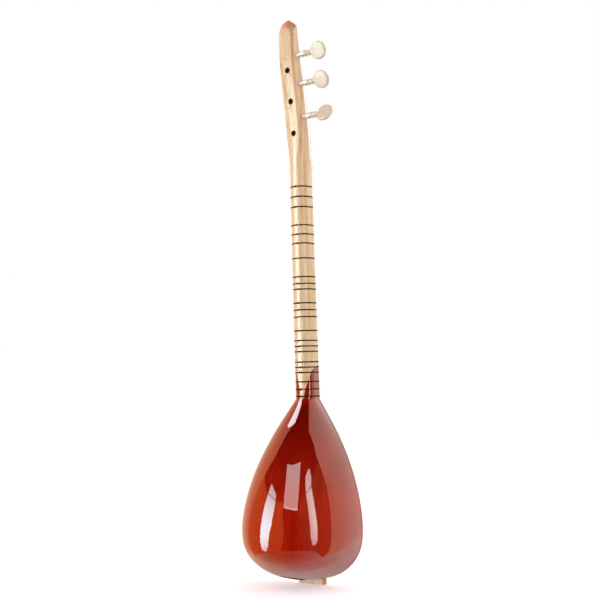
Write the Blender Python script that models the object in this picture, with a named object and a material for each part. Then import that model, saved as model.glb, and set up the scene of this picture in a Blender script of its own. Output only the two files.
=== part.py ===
"""Cura saz: a small long-necked lute with a carved bowl, three strings and three side pegs.

Units are metres and +Z is up. The neck points up, the soundboard faces -Y, the bowl
bulges to +Y and the pegs stand out to -X. The origin is the centre of the tail block's
bottom face.
"""

import math

import bmesh
import bpy
from mathutils import Matrix, Vector

# Clearances
GAP = 0.0003
PEG_CLEARANCE = 0.00015

# Tail block, the strip of wood at the bottom that holds the strings
BLOCK_LENGTH = 0.0406
BLOCK_DEPTH = 0.0074
BLOCK_DROP = 0.0061
BLOCK_SEAT = 0.003
BLOCK_PROUD = 0.0022
BLOCK_SLOT_WIDTH = 0.0016
BLOCK_SLOT_DEPTH = 0.0018
BLOCK_EDGE = 0.0006

# Bowl: length, widest half width and deepest depth, each with its place along the length,
# the power of the round tail end and the power of the long flank towards the neck, where the
# flank hollows a little; its section is a half round behind sides that run straight back from
# the front, a mere edge along the body and longer towards the neck
BODY_LENGTH = 0.2371
BODY_HALF_WIDTH = 0.0809
WIDEST_AT = 0.273
TAIL_POWER = 2.06
FLANK_POWER = 1.914
BODY_DEPTH = 0.1085
DEEPEST_AT = 0.274
DEPTH_TAIL_POWER = 2.19
DEPTH_FLANK_POWER = 1.69
FLANK_HOLLOW = 0.025
FLANK_HOLLOW_POWER = 8.0
SECTION_POWER = 2.06
FRONT_SIDE = 0.0005
SIDE_GROWTH_LENGTH = 0.068
BOWL_WALL = 0.0045
TAIL_WALL = 0.007
HEEL_LENGTH = 0.042
CAVITY_POWER = 8.0

# Sound hole, drilled up through the bowl's bottom behind the tail block
SOUND_HOLE_RADIUS = 0.0175
SOUND_HOLE_SETBACK = 0.0459

# Soundboard and the brace below it
BOARD_THICKNESS = 0.003
BRACE_WIDTH = 0.008
BRACE_DEPTH = 0.010
BRACE_ABOVE_TAIL = 0.1265
BRACE_END_ROOM = 0.004
BRACE_EDGE = 0.001

# Neck, from the bowl's end to the nut: straight sides behind the front, then a half round
SCALE_LENGTH = 0.500
BRIDGE_ABOVE_TAIL = 0.0498
NECK_ROOT_HALF_WIDTH = 0.0143
NECK_ROOT_DEPTH = 0.0236
NECK_ROOT_SIDE = 0.0092
NECK_NUT_HALF_WIDTH = 0.0132
NECK_NUT_DEPTH = 0.0213
NECK_NUT_SIDE = 0.0081
NECK_TILT = math.radians(2.02)

# The neck's tongue, a V set a little to the pegs' side, with how fast its +X and its -X edge spread upwards
# and how much the cut rises towards the front
TONGUE_DROP = 0.002
TONGUE_TIP_X = -0.0034
TONGUE_SPREADS = (0.282, 0.281)
TONGUE_RISE = 0.45

# Head: the blocky end above the nut, bent back, with its front cut down a little above the nut and again
# past the step, and its back falling forward towards the top. Its facets meet at places across, each
# with how far it lies in front of the back. The top is cut to a point by slopes that steepen outwards
# and fall away backwards, given by how low they are at each place across
HEAD_TILT = math.radians(9.0)
HEAD_BEND_LENGTH = 0.0816
HEAD_HALF_WIDTH = 0.0130
HEAD_DEPTH = 0.0184
HEAD_FACET_EDGES = ((0.0130, 0.0018), (0.0048, 0.0), (-0.0074, 0.0), (-0.0113, 0.0014))
HEAD_BLEND_START = 0.004
HEAD_BLEND_LENGTH = 0.044
HEAD_RECESS_ABOVE_NUT = 0.007
HEAD_RECESS_LENGTH = 0.006
HEAD_RECESS_DEPTH = 0.0025
HEAD_STEP_ABOVE_NUT = 0.0652
HEAD_STEP_LENGTH = 0.0075
HEAD_STEP_DEPTH = 0.0042
HEAD_BACK_FALL = 0.0078
HEAD_BACK_FALL_LENGTH = 0.060
HEAD_BACK_FALL_POWER = 1.3
HEAD_LENGTH = 0.1998
HEAD_TIP_FALLS = (
    (-0.0130, 0.0137), (-0.0114, 0.0110), (-0.0072, 0.0062), (0.0, 0.0), (0.0072, 0.0028), (0.0114, 0.0060),
    (0.0130, 0.0085),
)
HEAD_TIP_BACK_SLOPE = 1.8

# Drilled holes in the back of the head
HEAD_HOLE_RADIUS = 0.004
HEAD_HOLE_HEIGHTS = (0.1305, 0.0888, 0.0461)

# Pegs: heights above the nut, then sizes along the peg from the head's middle
PEG_HEIGHTS = (0.1489, 0.1107, 0.0668)
PEG_DEPTH = 0.0092
PEG_SHAFT_RADIUS = 0.00365
PEG_END_INSET = 0.0005
PEG_COLLAR_AT = 0.0266
PEG_COLLAR_RADIUS = 0.0046
PEG_COLLAR_LENGTH = 0.0016
PEG_NECK_RADIUS = 0.0034
PEG_STEM_RADIUS = 0.0026
PEG_CHAMFER = 0.0004
PEG_RING_AT = 0.0322
PEG_RING_RADIUS = 0.0044
PEG_KNOB_AT = 0.0475
PEG_KNOB_RADIUS = 0.0122
PEG_KNOB_THICKNESS = 0.0048
PEG_KNOB_RIM = 0.0024
PEG_TURNS = (math.radians(20.0), math.radians(24.0), math.radians(-20.0))

# Strings and their windings on the pegs
STRING_RADIUS = 0.00025
NUT_STRING_SPACING = 0.0107
BRIDGE_STRING_SPACING = 0.0105
BLOCK_STRING_SPACING = 0.0110
STRING_ABOVE_BRIDGE_BOARD = 0.0098
STRING_ABOVE_NUT_FRONT = 0.004
STRING_OUTSIDE_HEAD = 0.0063
WINDING_TURNS = 5
WINDING_PITCH = 0.0012
WINDING_POINTS = 16

# Nut and bridge
NUT_WIDTH = 0.005
NUT_END_INSET = 0.0006
NUT_EDGE = 0.0005
NOTCH_WIDTH = 0.0014
NOTCH_DEPTH = 0.0006
NOTCH_FALL = 0.24
BRIDGE_LENGTH = 0.042
BRIDGE_TOP_LENGTH = 0.034
BRIDGE_FOOT_LENGTH = 0.009
BRIDGE_ARCH_HEIGHT = 0.0045
BRIDGE_FOOT_THICKNESS = 0.006
BRIDGE_TOP_THICKNESS = 0.0024

# Frets: tied turns of nylon, each at the scale length divided by its frequency ratio
FRET_RATIOS = (
    18 / 17, 12 / 11, 9 / 8, 81 / 68, 27 / 22, 81 / 64, 4 / 3, 10 / 7, 22 / 15, 3 / 2, 27 / 17, 18 / 11,
    27 / 16, 9 / 5, 17 / 9, 35 / 18, 2 / 1, 36 / 17, 24 / 11, 9 / 4, 81 / 34, 5 / 2, 21 / 8,
)
FRET_GAP = 0.0003
FRET_WIDTH = 0.0017
FRET_FLAT_WIDTH = 0.001
FRET_HEIGHT = 0.0006
KNOT_HEIGHT = 0.0006
KNOT_WIDTH = 0.0009
KNOT_STRETCH = ((0.2, 0.0), (0.4, 1.0), (0.65, 1.0), (0.85, 0.0))

# Facet counts; the head's side, slope, back, slope and side have as many points as the neck's section
SECTION_STEPS = 34
HEAD_SECTION_STEPS = (4, 3, 4, 3, 4)
NECK_SECTION_STEPS = sum(HEAD_SECTION_STEPS)
TAIL_RINGS = 12
FLANK_RINGS = 16
CAVITY_RINGS = 22
CAVITY_SECTION_STEPS = 24
BEND_RINGS = 8
BLEND_RINGS = 4
FALL_RINGS = 5
ARCH_STEPS = 8
RIM_STEPS = 6
ROUND_SIDES = 20
KNOB_SIDES = 28
HOLE_SIDES = 32

# Places worked out from the sizes above
BLOCK_FRONT_Y = -BLOCK_DEPTH / 2
FRONT_Y = BLOCK_FRONT_Y + BLOCK_PROUD
BOARD_BACK_Y = FRONT_Y + BOARD_THICKNESS
RIM_Y = BOARD_BACK_Y + GAP
TAIL_Z = BLOCK_DROP
BODY_END_Z = TAIL_Z + BODY_LENGTH
BRIDGE_Z = TAIL_Z + BRIDGE_ABOVE_TAIL
NUT_Z = BRIDGE_Z + SCALE_LENGTH
HEAD_BLEND_Z = NUT_Z + HEAD_BLEND_START
HEAD_RECESS_Z = NUT_Z + HEAD_RECESS_ABOVE_NUT
HEAD_STEP_Z = NUT_Z + HEAD_STEP_ABOVE_NUT
HEAD_TOP_Z = NUT_Z + HEAD_LENGTH
HEAD_FALL_Z = HEAD_TOP_Z - HEAD_BACK_FALL_LENGTH
TONGUE_TIP_Z = BODY_END_Z - TONGUE_DROP
CHEEK_TOP_Z = (
    TONGUE_TIP_Z + (NECK_ROOT_HALF_WIDTH - TONGUE_TIP_X) / TONGUE_SPREADS[0] + NECK_ROOT_DEPTH * TONGUE_RISE
)
WINDING_RADIUS = PEG_SHAFT_RADIUS + GAP + STRING_RADIUS
WINDING_START = HEAD_HALF_WIDTH + STRING_OUTSIDE_HEAD
CUT_ROOM = 0.02


def clear_scene():
    """Remove every object that the opened file holds."""
    for thing in list(bpy.data.objects):
        bpy.data.objects.remove(thing, do_unlink=True)


def principled(name, colour, roughness, metallic=0.0):
    """A plain material with one colour, roughness and metallic value."""
    material = bpy.data.materials.new(name)
    material.use_nodes = True
    shader = material.node_tree.nodes["Principled BSDF"]
    shader.inputs["Base Color"].default_value = (*colour, 1.0)
    shader.inputs["Roughness"].default_value = roughness
    shader.inputs["Metallic"].default_value = metallic
    return material


def new_object(name, mesh_builder, material=None):
    """Turn a bmesh into a named object with outward faces."""
    bmesh.ops.recalc_face_normals(mesh_builder, faces=mesh_builder.faces)
    mesh = bpy.data.meshes.new(name)
    mesh_builder.to_mesh(mesh)
    mesh_builder.free()
    thing = bpy.data.objects.new(name, mesh)
    bpy.context.scene.collection.objects.link(thing)
    if material:
        mesh.materials.append(material)
    return thing


def shade(thing, angle_degrees=35.0):
    """Shade round pieces smooth and keep their real edges sharp."""
    thing.data.shade_smooth()
    thing.data.set_sharp_from_angle(angle=math.radians(angle_degrees))


def apply_modifiers(thing):
    """Replace an object's mesh by what its modifiers make of it."""
    graph = bpy.context.evaluated_depsgraph_get()
    mesh = bpy.data.meshes.new_from_object(thing.evaluated_get(graph))
    thing.modifiers.clear()
    thing.data = mesh


def combine(thing, other, operation):
    """Cut, join or intersect with another object, which is used up."""
    modifier = thing.modifiers.new("combine", "BOOLEAN")
    modifier.operation = operation
    modifier.solver = "EXACT"
    modifier.object = other
    apply_modifiers(thing)
    bpy.data.objects.remove(other, do_unlink=True)


def round_edges(thing, width, segments=2):
    """Round the edges that are sharper than 40 degrees."""
    modifier = thing.modifiers.new("round_edges", "BEVEL")
    modifier.width = width
    modifier.segments = segments
    modifier.limit_method = "ANGLE"
    modifier.angle_limit = math.radians(40.0)
    apply_modifiers(thing)


def loft(name, rings, material=None, start_point=None, end_point=None):
    """Skin rings of equal count, closed by flat caps or by end points."""
    builder = bmesh.new()
    loops = [[builder.verts.new(point) for point in ring] for ring in rings]
    count = len(loops[0])
    for lower, upper in zip(loops, loops[1:]):
        for index in range(count):
            after = (index + 1) % count
            builder.faces.new((lower[index], lower[after], upper[after], upper[index]))
    for loop, point in ((loops[0], start_point), (loops[-1], end_point)):
        if point is None:
            builder.faces.new(loop)
            continue
        tip = builder.verts.new(point)
        for index in range(count):
            builder.faces.new((loop[index], loop[(index + 1) % count], tip))
    return new_object(name, builder, material)


def box(name, low, high, material=None):
    """A block between two corners."""
    builder = bmesh.new()
    bmesh.ops.create_cube(builder, size=1.0)
    size = [top - bottom for bottom, top in zip(low, high)]
    centre = [(top + bottom) / 2 for bottom, top in zip(low, high)]
    bmesh.ops.scale(builder, vec=size, verts=builder.verts)
    bmesh.ops.translate(builder, vec=centre, verts=builder.verts)
    return new_object(name, builder, material)


def prism_along_y(name, outline, low_y, high_y, material=None):
    """A flat outline of (x, z) points, given thickness along Y."""
    rings = [[(x, y, z) for x, z in outline] for y in (low_y, high_y)]
    return loft(name, rings, material)


def rod(name, start, end, radius, sides):
    """A straight round rod between two points."""
    direction = Vector(end) - Vector(start)
    middle = (Vector(end) + Vector(start)) / 2
    turn = direction.to_track_quat("Z", "Y").to_matrix().to_4x4()
    builder = bmesh.new()
    bmesh.ops.create_cone(
        builder, cap_ends=True, segments=sides, radius1=radius, radius2=radius,
        depth=direction.length, matrix=Matrix.Translation(middle) @ turn,
    )
    return new_object(name, builder)


def tube(name, points, radius, material, location=(0.0, 0.0, 0.0)):
    """A thin solid tube along a list of points."""
    curve = bpy.data.curves.new(name, "CURVE")
    curve.dimensions = "3D"
    curve.bevel_depth = radius
    curve.bevel_resolution = 1
    curve.use_fill_caps = True
    spline = curve.splines.new("POLY")
    spline.points.add(len(points) - 1)
    for slot, point in zip(spline.points, points):
        slot.co = (*point, 1.0)
    curve.materials.append(material)
    thing = bpy.data.objects.new(name, curve)
    thing.location = location
    bpy.context.scene.collection.objects.link(thing)
    return thing


def swell(share, peak, peak_at, tail_power, flank_power, end):
    """A size that grows round from 0 at the tail to its peak, then falls along the flank to its end size."""
    if share < peak_at:
        rise = 1.0 - share / peak_at
        return peak * (1.0 - rise ** tail_power) ** (1.0 / tail_power)
    fall = (share - peak_at) / (1.0 - peak_at)
    hollow = FLANK_HOLLOW * fall ** FLANK_HOLLOW_POWER * (1.0 - fall)
    return peak - (peak - end) * fall ** flank_power - hollow


def body_half_width(z):
    """Half the bowl's width at a height."""
    share = min(max((z - TAIL_Z) / BODY_LENGTH, 0.0), 1.0)
    return swell(share, BODY_HALF_WIDTH, WIDEST_AT, TAIL_POWER, FLANK_POWER, NECK_ROOT_HALF_WIDTH)


def body_depth(z):
    """The bowl's depth behind the soundboard's front at a height."""
    share = min(max((z - TAIL_Z) / BODY_LENGTH, 0.0), 1.0)
    return swell(share, BODY_DEPTH, DEEPEST_AT, DEPTH_TAIL_POWER, DEPTH_FLANK_POWER, NECK_ROOT_DEPTH)


def body_side(z):
    """How far the bowl's sides run straight back from the front at a height."""
    share = min(max(1.0 - (BODY_END_Z - z) / SIDE_GROWTH_LENGTH, 0.0), 1.0)
    return FRONT_SIDE + (NECK_ROOT_SIDE - FRONT_SIDE) * share * share * (3 - 2 * share)


def neck_share(z):
    """How far a height lies from the neck's root, at 0, to the nut, at 1."""
    return (z - BODY_END_Z) / (NUT_Z - BODY_END_Z)


def neck_half_width(z):
    """Half the neck's width at a height."""
    return NECK_ROOT_HALF_WIDTH + (NECK_NUT_HALF_WIDTH - NECK_ROOT_HALF_WIDTH) * neck_share(z)


def neck_depth(z):
    """The neck's thickness at a height."""
    return NECK_ROOT_DEPTH + (NECK_NUT_DEPTH - NECK_ROOT_DEPTH) * neck_share(z)


def neck_side(z):
    """How far the neck's sides run straight back from the front at a height."""
    return NECK_ROOT_SIDE + (NECK_NUT_SIDE - NECK_ROOT_SIDE) * neck_share(z)


def front_line(z):
    """The Y of the front face: the soundboard, then the tilted neck, then the bend of the head."""
    if z < BODY_END_Z:
        return FRONT_Y
    straight = FRONT_Y + (z - BODY_END_Z) * math.tan(NECK_TILT)
    bent = min(max(z - NUT_Z, 0.0), HEAD_BEND_LENGTH)
    beyond = max(z - NUT_Z - HEAD_BEND_LENGTH, 0.0)
    turn = math.tan(HEAD_TILT) - math.tan(NECK_TILT)
    return straight + turn * (bent ** 2 / (2 * HEAD_BEND_LENGTH) + beyond)


def half_round(half_width, depth, steps):
    """(x, y) points from +X over the back to -X, with y measured from the front."""
    points = []
    for step in range(steps + 1):
        angle = math.pi * step / steps
        across = math.copysign(abs(math.cos(angle)) ** (2 / SECTION_POWER), math.cos(angle))
        behind = abs(math.sin(angle)) ** (2 / SECTION_POWER)
        points.append((half_width * across, depth * behind))
    return points


def sided_round(half_width, depth, side, steps):
    """(x, y) points from +X over the back to -X: straight sides with a half round behind them."""
    arc = [(x, side + y) for x, y in half_round(half_width, depth - side, steps - 2)]
    return [(half_width, 0.0), *arc, (-half_width, 0.0)]


def body_section(z, steps):
    """(x, y) points of the bowl at a height, y measured from the front."""
    return sided_round(body_half_width(z), body_depth(z), body_side(z), steps)


def round_section(z, steps):
    """(x, y) points of the neck at a height, y measured from the front line."""
    return sided_round(neck_half_width(z), neck_depth(z), neck_side(z), steps)


def body_heights():
    """Ring heights: close together at the round tail, even along the flank."""
    widest = TAIL_Z + BODY_LENGTH * WIDEST_AT
    heights = [
        TAIL_Z + (widest - TAIL_Z) * (1.0 - math.cos(math.pi / 2 * step / TAIL_RINGS))
        for step in range(1, TAIL_RINGS + 1)
    ]
    heights += [widest + (BODY_END_Z - widest) * step / FLANK_RINGS for step in range(1, FLANK_RINGS + 1)]
    return heights


def cavity_sizes(z):
    """Half width and depth of the hollow inside the bowl at a height."""
    low = TAIL_Z + TAIL_WALL
    high = BODY_END_Z - HEEL_LENGTH
    offset = abs(2 * (z - low) / (high - low) - 1.0)
    roundness = max(1.0 - offset ** CAVITY_POWER, 0.0) ** (1.0 / CAVITY_POWER)
    return (body_half_width(z) - BOWL_WALL) * roundness, (body_depth(z) - BOWL_WALL) * roundness


def cavity():
    """The hollow, carried forward past the rim so that it opens at the front."""
    low = TAIL_Z + TAIL_WALL
    high = BODY_END_Z - HEEL_LENGTH
    rings = []
    for step in range(1, CAVITY_RINGS):
        z = low + (high - low) * (1.0 - math.cos(math.pi * step / CAVITY_RINGS)) / 2
        half_width, depth = cavity_sizes(z)
        ring = [(x, FRONT_Y + y, z) for x, y in half_round(half_width, depth, CAVITY_SECTION_STEPS)]
        rings.append([(half_width, FRONT_Y - CUT_ROOM, z), *ring, (-half_width, FRONT_Y - CUT_ROOM, z)])
    return loft("cavity", rings)


def tongue_prism(name, clearance):
    """The wedge of the neck joint, seen from the front as a V that opens upwards, with a clearance on its edges."""
    spread, other_spread = TONGUE_SPREADS
    room, other_room = (clearance * math.hypot(1.0, slope, slope * TONGUE_RISE) for slope in TONGUE_SPREADS)
    drop = (room + other_room) / (spread + other_spread)
    tip_x = TONGUE_TIP_X + room - spread * drop
    tip_z = TONGUE_TIP_Z - drop
    wide = 3 * NECK_ROOT_HALF_WIDTH
    top = 2 * HEAD_TOP_Z
    outline = [
        (tip_x, tip_z), (wide, tip_z + (wide - tip_x) / spread), (wide, top), (-wide, top),
        (-wide, tip_z + (wide + tip_x) / other_spread),
    ]
    back_y = FRONT_Y + NECK_ROOT_DEPTH
    rings = []
    for y in (FRONT_Y - CUT_ROOM, FRONT_Y + 5 * NECK_ROOT_DEPTH):
        rise = (back_y - y) * TONGUE_RISE
        rings.append([(x, y, z + rise) for x, z in outline])
    return loft(name, rings)


def block_space(clearance):
    """The room that the tail block takes, with a clearance on its sides, back and top."""
    half = BLOCK_LENGTH / 2 + clearance
    low = (-half, BLOCK_FRONT_Y - CUT_ROOM, -CUT_ROOM)
    high = (half, BLOCK_DEPTH / 2 + clearance, TAIL_Z + BLOCK_SEAT + clearance)
    return box("block_space", low, high)


def board_space():
    """The room in front of the bowl's rim that the soundboard takes, up to the bowl's end."""
    reach = 2 * BODY_HALF_WIDTH
    low = (-reach, FRONT_Y - CUT_ROOM, TAIL_Z - CUT_ROOM)
    return box("board_space", low, (reach, RIM_Y, BODY_END_Z + GAP))


def make_bowl(material):
    """The carved bowl, with its heel and the two cheeks that hold the neck's tongue."""
    rings = [[(x, FRONT_Y + y, z) for x, y in body_section(z, SECTION_STEPS)] for z in body_heights()]
    cheek_front = front_line(CHEEK_TOP_Z)
    rings.append([(x, cheek_front + y, CHEEK_TOP_Z) for x, y in round_section(CHEEK_TOP_Z, SECTION_STEPS)])
    bowl = loft("bowl", rings, material, start_point=(0.0, FRONT_Y, TAIL_Z))
    combine(bowl, board_space(), "DIFFERENCE")
    combine(bowl, cavity(), "DIFFERENCE")
    combine(bowl, tongue_prism("tongue_space", GAP), "DIFFERENCE")
    combine(bowl, block_space(GAP), "DIFFERENCE")
    hole_y = FRONT_Y + SOUND_HOLE_SETBACK
    hole = rod(
        "sound_hole", (0.0, hole_y, TAIL_Z - CUT_ROOM), (0.0, hole_y, TAIL_Z + TAIL_WALL + CUT_ROOM),
        SOUND_HOLE_RADIUS, HOLE_SIDES,
    )
    combine(bowl, hole, "DIFFERENCE")
    shade(bowl)
    return bowl


def make_soundboard(material):
    """The flat front plate, with the bowl's outline and the tail block's notch."""
    right = [(body_half_width(z), z) for z in body_heights()]
    left = [(-x, z) for x, z in reversed(right)]
    outline = [(0.0, TAIL_Z), *right, *left]
    board = prism_along_y("soundboard", outline, FRONT_Y, BOARD_BACK_Y, material)
    combine(board, block_space(GAP), "DIFFERENCE")
    shade(board)
    return board


def make_brace(material):
    """The bar glued across the soundboard's back, inside the bowl."""
    z = TAIL_Z + BRACE_ABOVE_TAIL
    half = min(cavity_sizes(z - BRACE_WIDTH / 2)[0], cavity_sizes(z + BRACE_WIDTH / 2)[0]) - BRACE_END_ROOM
    brace = box(
        "soundboard_brace",
        (-half, BOARD_BACK_Y + GAP, z - BRACE_WIDTH / 2),
        (half, BOARD_BACK_Y + GAP + BRACE_DEPTH, z + BRACE_WIDTH / 2),
        material,
    )
    round_edges(brace, BRACE_EDGE)
    return brace


def head_front_cut(z):
    """How far the head's front lies behind the front line at a height."""
    recess = min(max((z - HEAD_RECESS_Z) / HEAD_RECESS_LENGTH, 0.0), 1.0)
    step = min(max((z - HEAD_STEP_Z) / HEAD_STEP_LENGTH, 0.0), 1.0)
    return HEAD_RECESS_DEPTH * recess + (HEAD_STEP_DEPTH - HEAD_RECESS_DEPTH) * step


def head_depth(z):
    """The head's depth behind its front line, which falls towards the top."""
    share = (z - HEAD_FALL_Z) / HEAD_BACK_FALL_LENGTH
    return HEAD_DEPTH - HEAD_BACK_FALL * max(share, 0.0) ** HEAD_BACK_FALL_POWER


def blocky_section(depth):
    """The head's section: flat sides and back with sloped facets, in as many points as the neck's."""
    edges = [(x, depth - before_back) for x, before_back in HEAD_FACET_EDGES]
    corners = [(HEAD_HALF_WIDTH, 0.0), *edges, (-HEAD_HALF_WIDTH, 0.0)]
    points = [corners[0]]
    for start, end, count in zip(corners, corners[1:], HEAD_SECTION_STEPS):
        for step in range(1, count + 1):
            share = step / count
            points.append(tuple(a + (b - a) * share for a, b in zip(start, end)))
    return points


def neck_section(z):
    """(x, y) points of the bowl, neck or head at a height, y measured from the front line."""
    if z < BODY_END_Z:
        return body_section(z, NECK_SECTION_STEPS)
    if z <= HEAD_BLEND_Z:
        return round_section(z, NECK_SECTION_STEPS)
    share = min((z - HEAD_BLEND_Z) / HEAD_BLEND_LENGTH, 1.0)
    share = share * share * (3 - 2 * share)
    points = []
    for (round_x, round_y), (block_x, block_y) in zip(
            round_section(HEAD_BLEND_Z, NECK_SECTION_STEPS), blocky_section(head_depth(z))):
        points.append((round_x + (block_x - round_x) * share, round_y + (block_y - round_y) * share))
    cut = head_front_cut(z)
    first_edge = points[HEAD_SECTION_STEPS[0]][1]
    last_edge = points[-1 - HEAD_SECTION_STEPS[-1]][1]
    section = []
    for index, (x, y) in enumerate(points):
        edge = first_edge if index < NECK_SECTION_STEPS / 2 else last_edge
        section.append((x, cut + y * (edge - cut) / edge if y < edge else y))
    return section


def neck_ring(z):
    """One ring of the neck or head in space."""
    return [(x, front_line(z) + y, z) for x, y in neck_section(z)]


def head_roof():
    """The room above the head's pointed top: slopes each way from the ridge, which itself falls backwards."""
    reach = HEAD_HALF_WIDTH + CUT_ROOM
    falls = list(HEAD_TIP_FALLS)
    for end, near, edge_x in ((0, 1, -reach), (-1, -2, reach)):
        (end_x, end_fall), (near_x, near_fall) = falls[end], falls[near]
        falls[end] = (edge_x, end_fall + (edge_x - end_x) * (end_fall - near_fall) / (end_x - near_x))
    front = front_line(HEAD_TOP_Z) + HEAD_STEP_DEPTH
    high = HEAD_TOP_Z + 3 * CUT_ROOM
    rings = []
    for y in (front - CUT_ROOM, front + CUT_ROOM):
        ridge = HEAD_TOP_Z - (y - front) * HEAD_TIP_BACK_SLOPE
        rings.append([*[(x, y, ridge - fall) for x, fall in falls], (reach, y, high), (-reach, y, high)])
    return loft("head_roof", rings)


def peg_axis(height):
    """The Y and Z of a peg's axis, from its height above the nut."""
    z = NUT_Z + height
    return front_line(z) + PEG_DEPTH, z


def make_neck(material):
    """The neck and head, one piece of wood, ending below in the tongue of the joint."""
    bend = [NUT_Z + HEAD_BEND_LENGTH * step / BEND_RINGS for step in range(BEND_RINGS + 1)]
    blend = [HEAD_BLEND_Z + HEAD_BLEND_LENGTH * step / BLEND_RINGS for step in range(BLEND_RINGS + 1)]
    fall = [HEAD_FALL_Z + HEAD_BACK_FALL_LENGTH * step / FALL_RINGS for step in range(FALL_RINGS + 1)]
    ends = (
        TONGUE_TIP_Z - TONGUE_DROP, BODY_END_Z, HEAD_RECESS_Z, HEAD_RECESS_Z + HEAD_RECESS_LENGTH, HEAD_STEP_Z,
        HEAD_STEP_Z + HEAD_STEP_LENGTH,
    )
    neck = loft("neck", [neck_ring(z) for z in sorted({*ends, *bend, *blend, *fall})], material)
    combine(neck, head_roof(), "DIFFERENCE")
    combine(neck, tongue_prism("tongue", 0.0), "INTERSECT")
    combine(neck, board_space(), "DIFFERENCE")
    reach = HEAD_HALF_WIDTH + CUT_ROOM
    for height in PEG_HEIGHTS:
        y, z = peg_axis(height)
        bore = rod("bore", (-reach, y, z), (reach, y, z), PEG_SHAFT_RADIUS + PEG_CLEARANCE, ROUND_SIDES)
        combine(neck, bore, "DIFFERENCE")
    for height in HEAD_HOLE_HEIGHTS:
        z = NUT_Z + height
        slope = math.tan(HEAD_TILT)
        middle = front_line(z) + HEAD_DEPTH / 2
        start = (0.0, middle - reach, z + reach * slope)
        end = (0.0, middle + reach, z - reach * slope)
        combine(neck, rod("hole", start, end, HEAD_HOLE_RADIUS, ROUND_SIDES), "DIFFERENCE")
    shade(neck, 28.0)
    return neck


def string_x(index, spacing):
    """The string's place across: string 0 goes to the top peg and lies on the +X side."""
    return spacing * (1 - index)


def make_notches(thing, spacing, floor_y, centre_z):
    """Cut a notch for each string into the top of the nut or bridge, its floor falling away both ways."""
    fall = floor_y + NOTCH_FALL * CUT_ROOM
    front = floor_y - CUT_ROOM
    side = [
        (floor_y, centre_z), (fall, centre_z + CUT_ROOM), (front, centre_z + CUT_ROOM),
        (front, centre_z - CUT_ROOM), (fall, centre_z - CUT_ROOM),
    ]
    for index in range(len(PEG_HEIGHTS)):
        middle = string_x(index, spacing)
        edges = (middle - NOTCH_WIDTH / 2, middle + NOTCH_WIDTH / 2)
        combine(thing, loft("notch", [[(x, y, z) for y, z in side] for x in edges]), "DIFFERENCE")


def make_nut(material):
    """The bar at the end of the fingerboard that spaces the strings."""
    half = neck_half_width(NUT_Z) - NUT_END_INSET
    floor = front_line(NUT_Z) - STRING_ABOVE_NUT_FRONT + STRING_RADIUS + GAP
    low = (-half, floor - NOTCH_DEPTH, NUT_Z - NUT_WIDTH / 2)
    high = (half, front_line(NUT_Z - NUT_WIDTH / 2) - GAP, NUT_Z + NUT_WIDTH / 2)
    nut = box("nut", low, high, material)
    round_edges(nut, NUT_EDGE)
    make_notches(nut, NUT_STRING_SPACING, floor, NUT_Z)
    shade(nut)
    return nut


def make_bridge(material):
    """The loose bridge: two feet, an arch between them and a thin top with notches."""
    notch_floor = FRONT_Y - STRING_ABOVE_BRIDGE_BOARD + STRING_RADIUS + GAP
    height = FRONT_Y - GAP - notch_floor + NOTCH_DEPTH
    foot_inner = BRIDGE_LENGTH / 2 - BRIDGE_FOOT_LENGTH
    outline = [(BRIDGE_LENGTH / 2, 0.0), (BRIDGE_TOP_LENGTH / 2, height)]
    outline += [(-x, up) for x, up in reversed(outline)]
    for step in range(ARCH_STEPS + 1):
        angle = math.pi * step / ARCH_STEPS
        outline.append((-foot_inner * math.cos(angle), BRIDGE_ARCH_HEIGHT * math.sin(angle)))
    builder = bmesh.new()
    loops = []
    for side in (-1, 1):
        loop = []
        for x, up in outline:
            share = up / height
            thickness = BRIDGE_FOOT_THICKNESS + (BRIDGE_TOP_THICKNESS - BRIDGE_FOOT_THICKNESS) * share
            loop.append(builder.verts.new((x, -GAP - up, side * thickness / 2)))
        loops.append(loop)
    for index in range(len(outline)):
        after = (index + 1) % len(outline)
        builder.faces.new((loops[0][index], loops[0][after], loops[1][after], loops[1][index]))
    for loop in loops:
        builder.faces.new(loop)
    bridge = new_object("bridge", builder, material)
    make_notches(bridge, BRIDGE_STRING_SPACING, notch_floor - FRONT_Y, 0.0)
    bridge.location = (0.0, FRONT_Y, BRIDGE_Z)
    shade(bridge)
    return bridge


def make_tail_block(material):
    """The strip of light wood let into the bottom end, with a slot for each string."""
    half = BLOCK_LENGTH / 2
    block = box(
        "tail_block", (-half, BLOCK_FRONT_Y, 0.0), (half, BLOCK_DEPTH / 2, TAIL_Z + BLOCK_SEAT), material
    )
    round_edges(block, BLOCK_EDGE)
    for index in range(len(PEG_HEIGHTS)):
        x = string_x(index, BLOCK_STRING_SPACING)
        low = (x - BLOCK_SLOT_WIDTH / 2, BLOCK_FRONT_Y - CUT_ROOM, -CUT_ROOM)
        high = (x + BLOCK_SLOT_WIDTH / 2, BLOCK_FRONT_Y + BLOCK_SLOT_DEPTH, TAIL_Z + CUT_ROOM)
        combine(block, box("slot", low, high), "DIFFERENCE")
    shade(block)
    return block


def turned(profile, sides):
    """A bmesh turned about local Z from (radius, z) points, closed on the axis at both ends."""
    builder = bmesh.new()
    verts = [builder.verts.new((radius, 0.0, z)) for radius, z in profile]
    edges = [builder.edges.new(pair) for pair in zip(verts, verts[1:])]
    bmesh.ops.spin(
        builder, geom=verts + edges, cent=(0, 0, 0), axis=(0, 0, 1), angle=2 * math.pi,
        steps=sides, use_merge=True, use_duplicate=False,
    )
    bmesh.ops.remove_doubles(builder, verts=builder.verts, dist=0.000001)
    return builder


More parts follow.
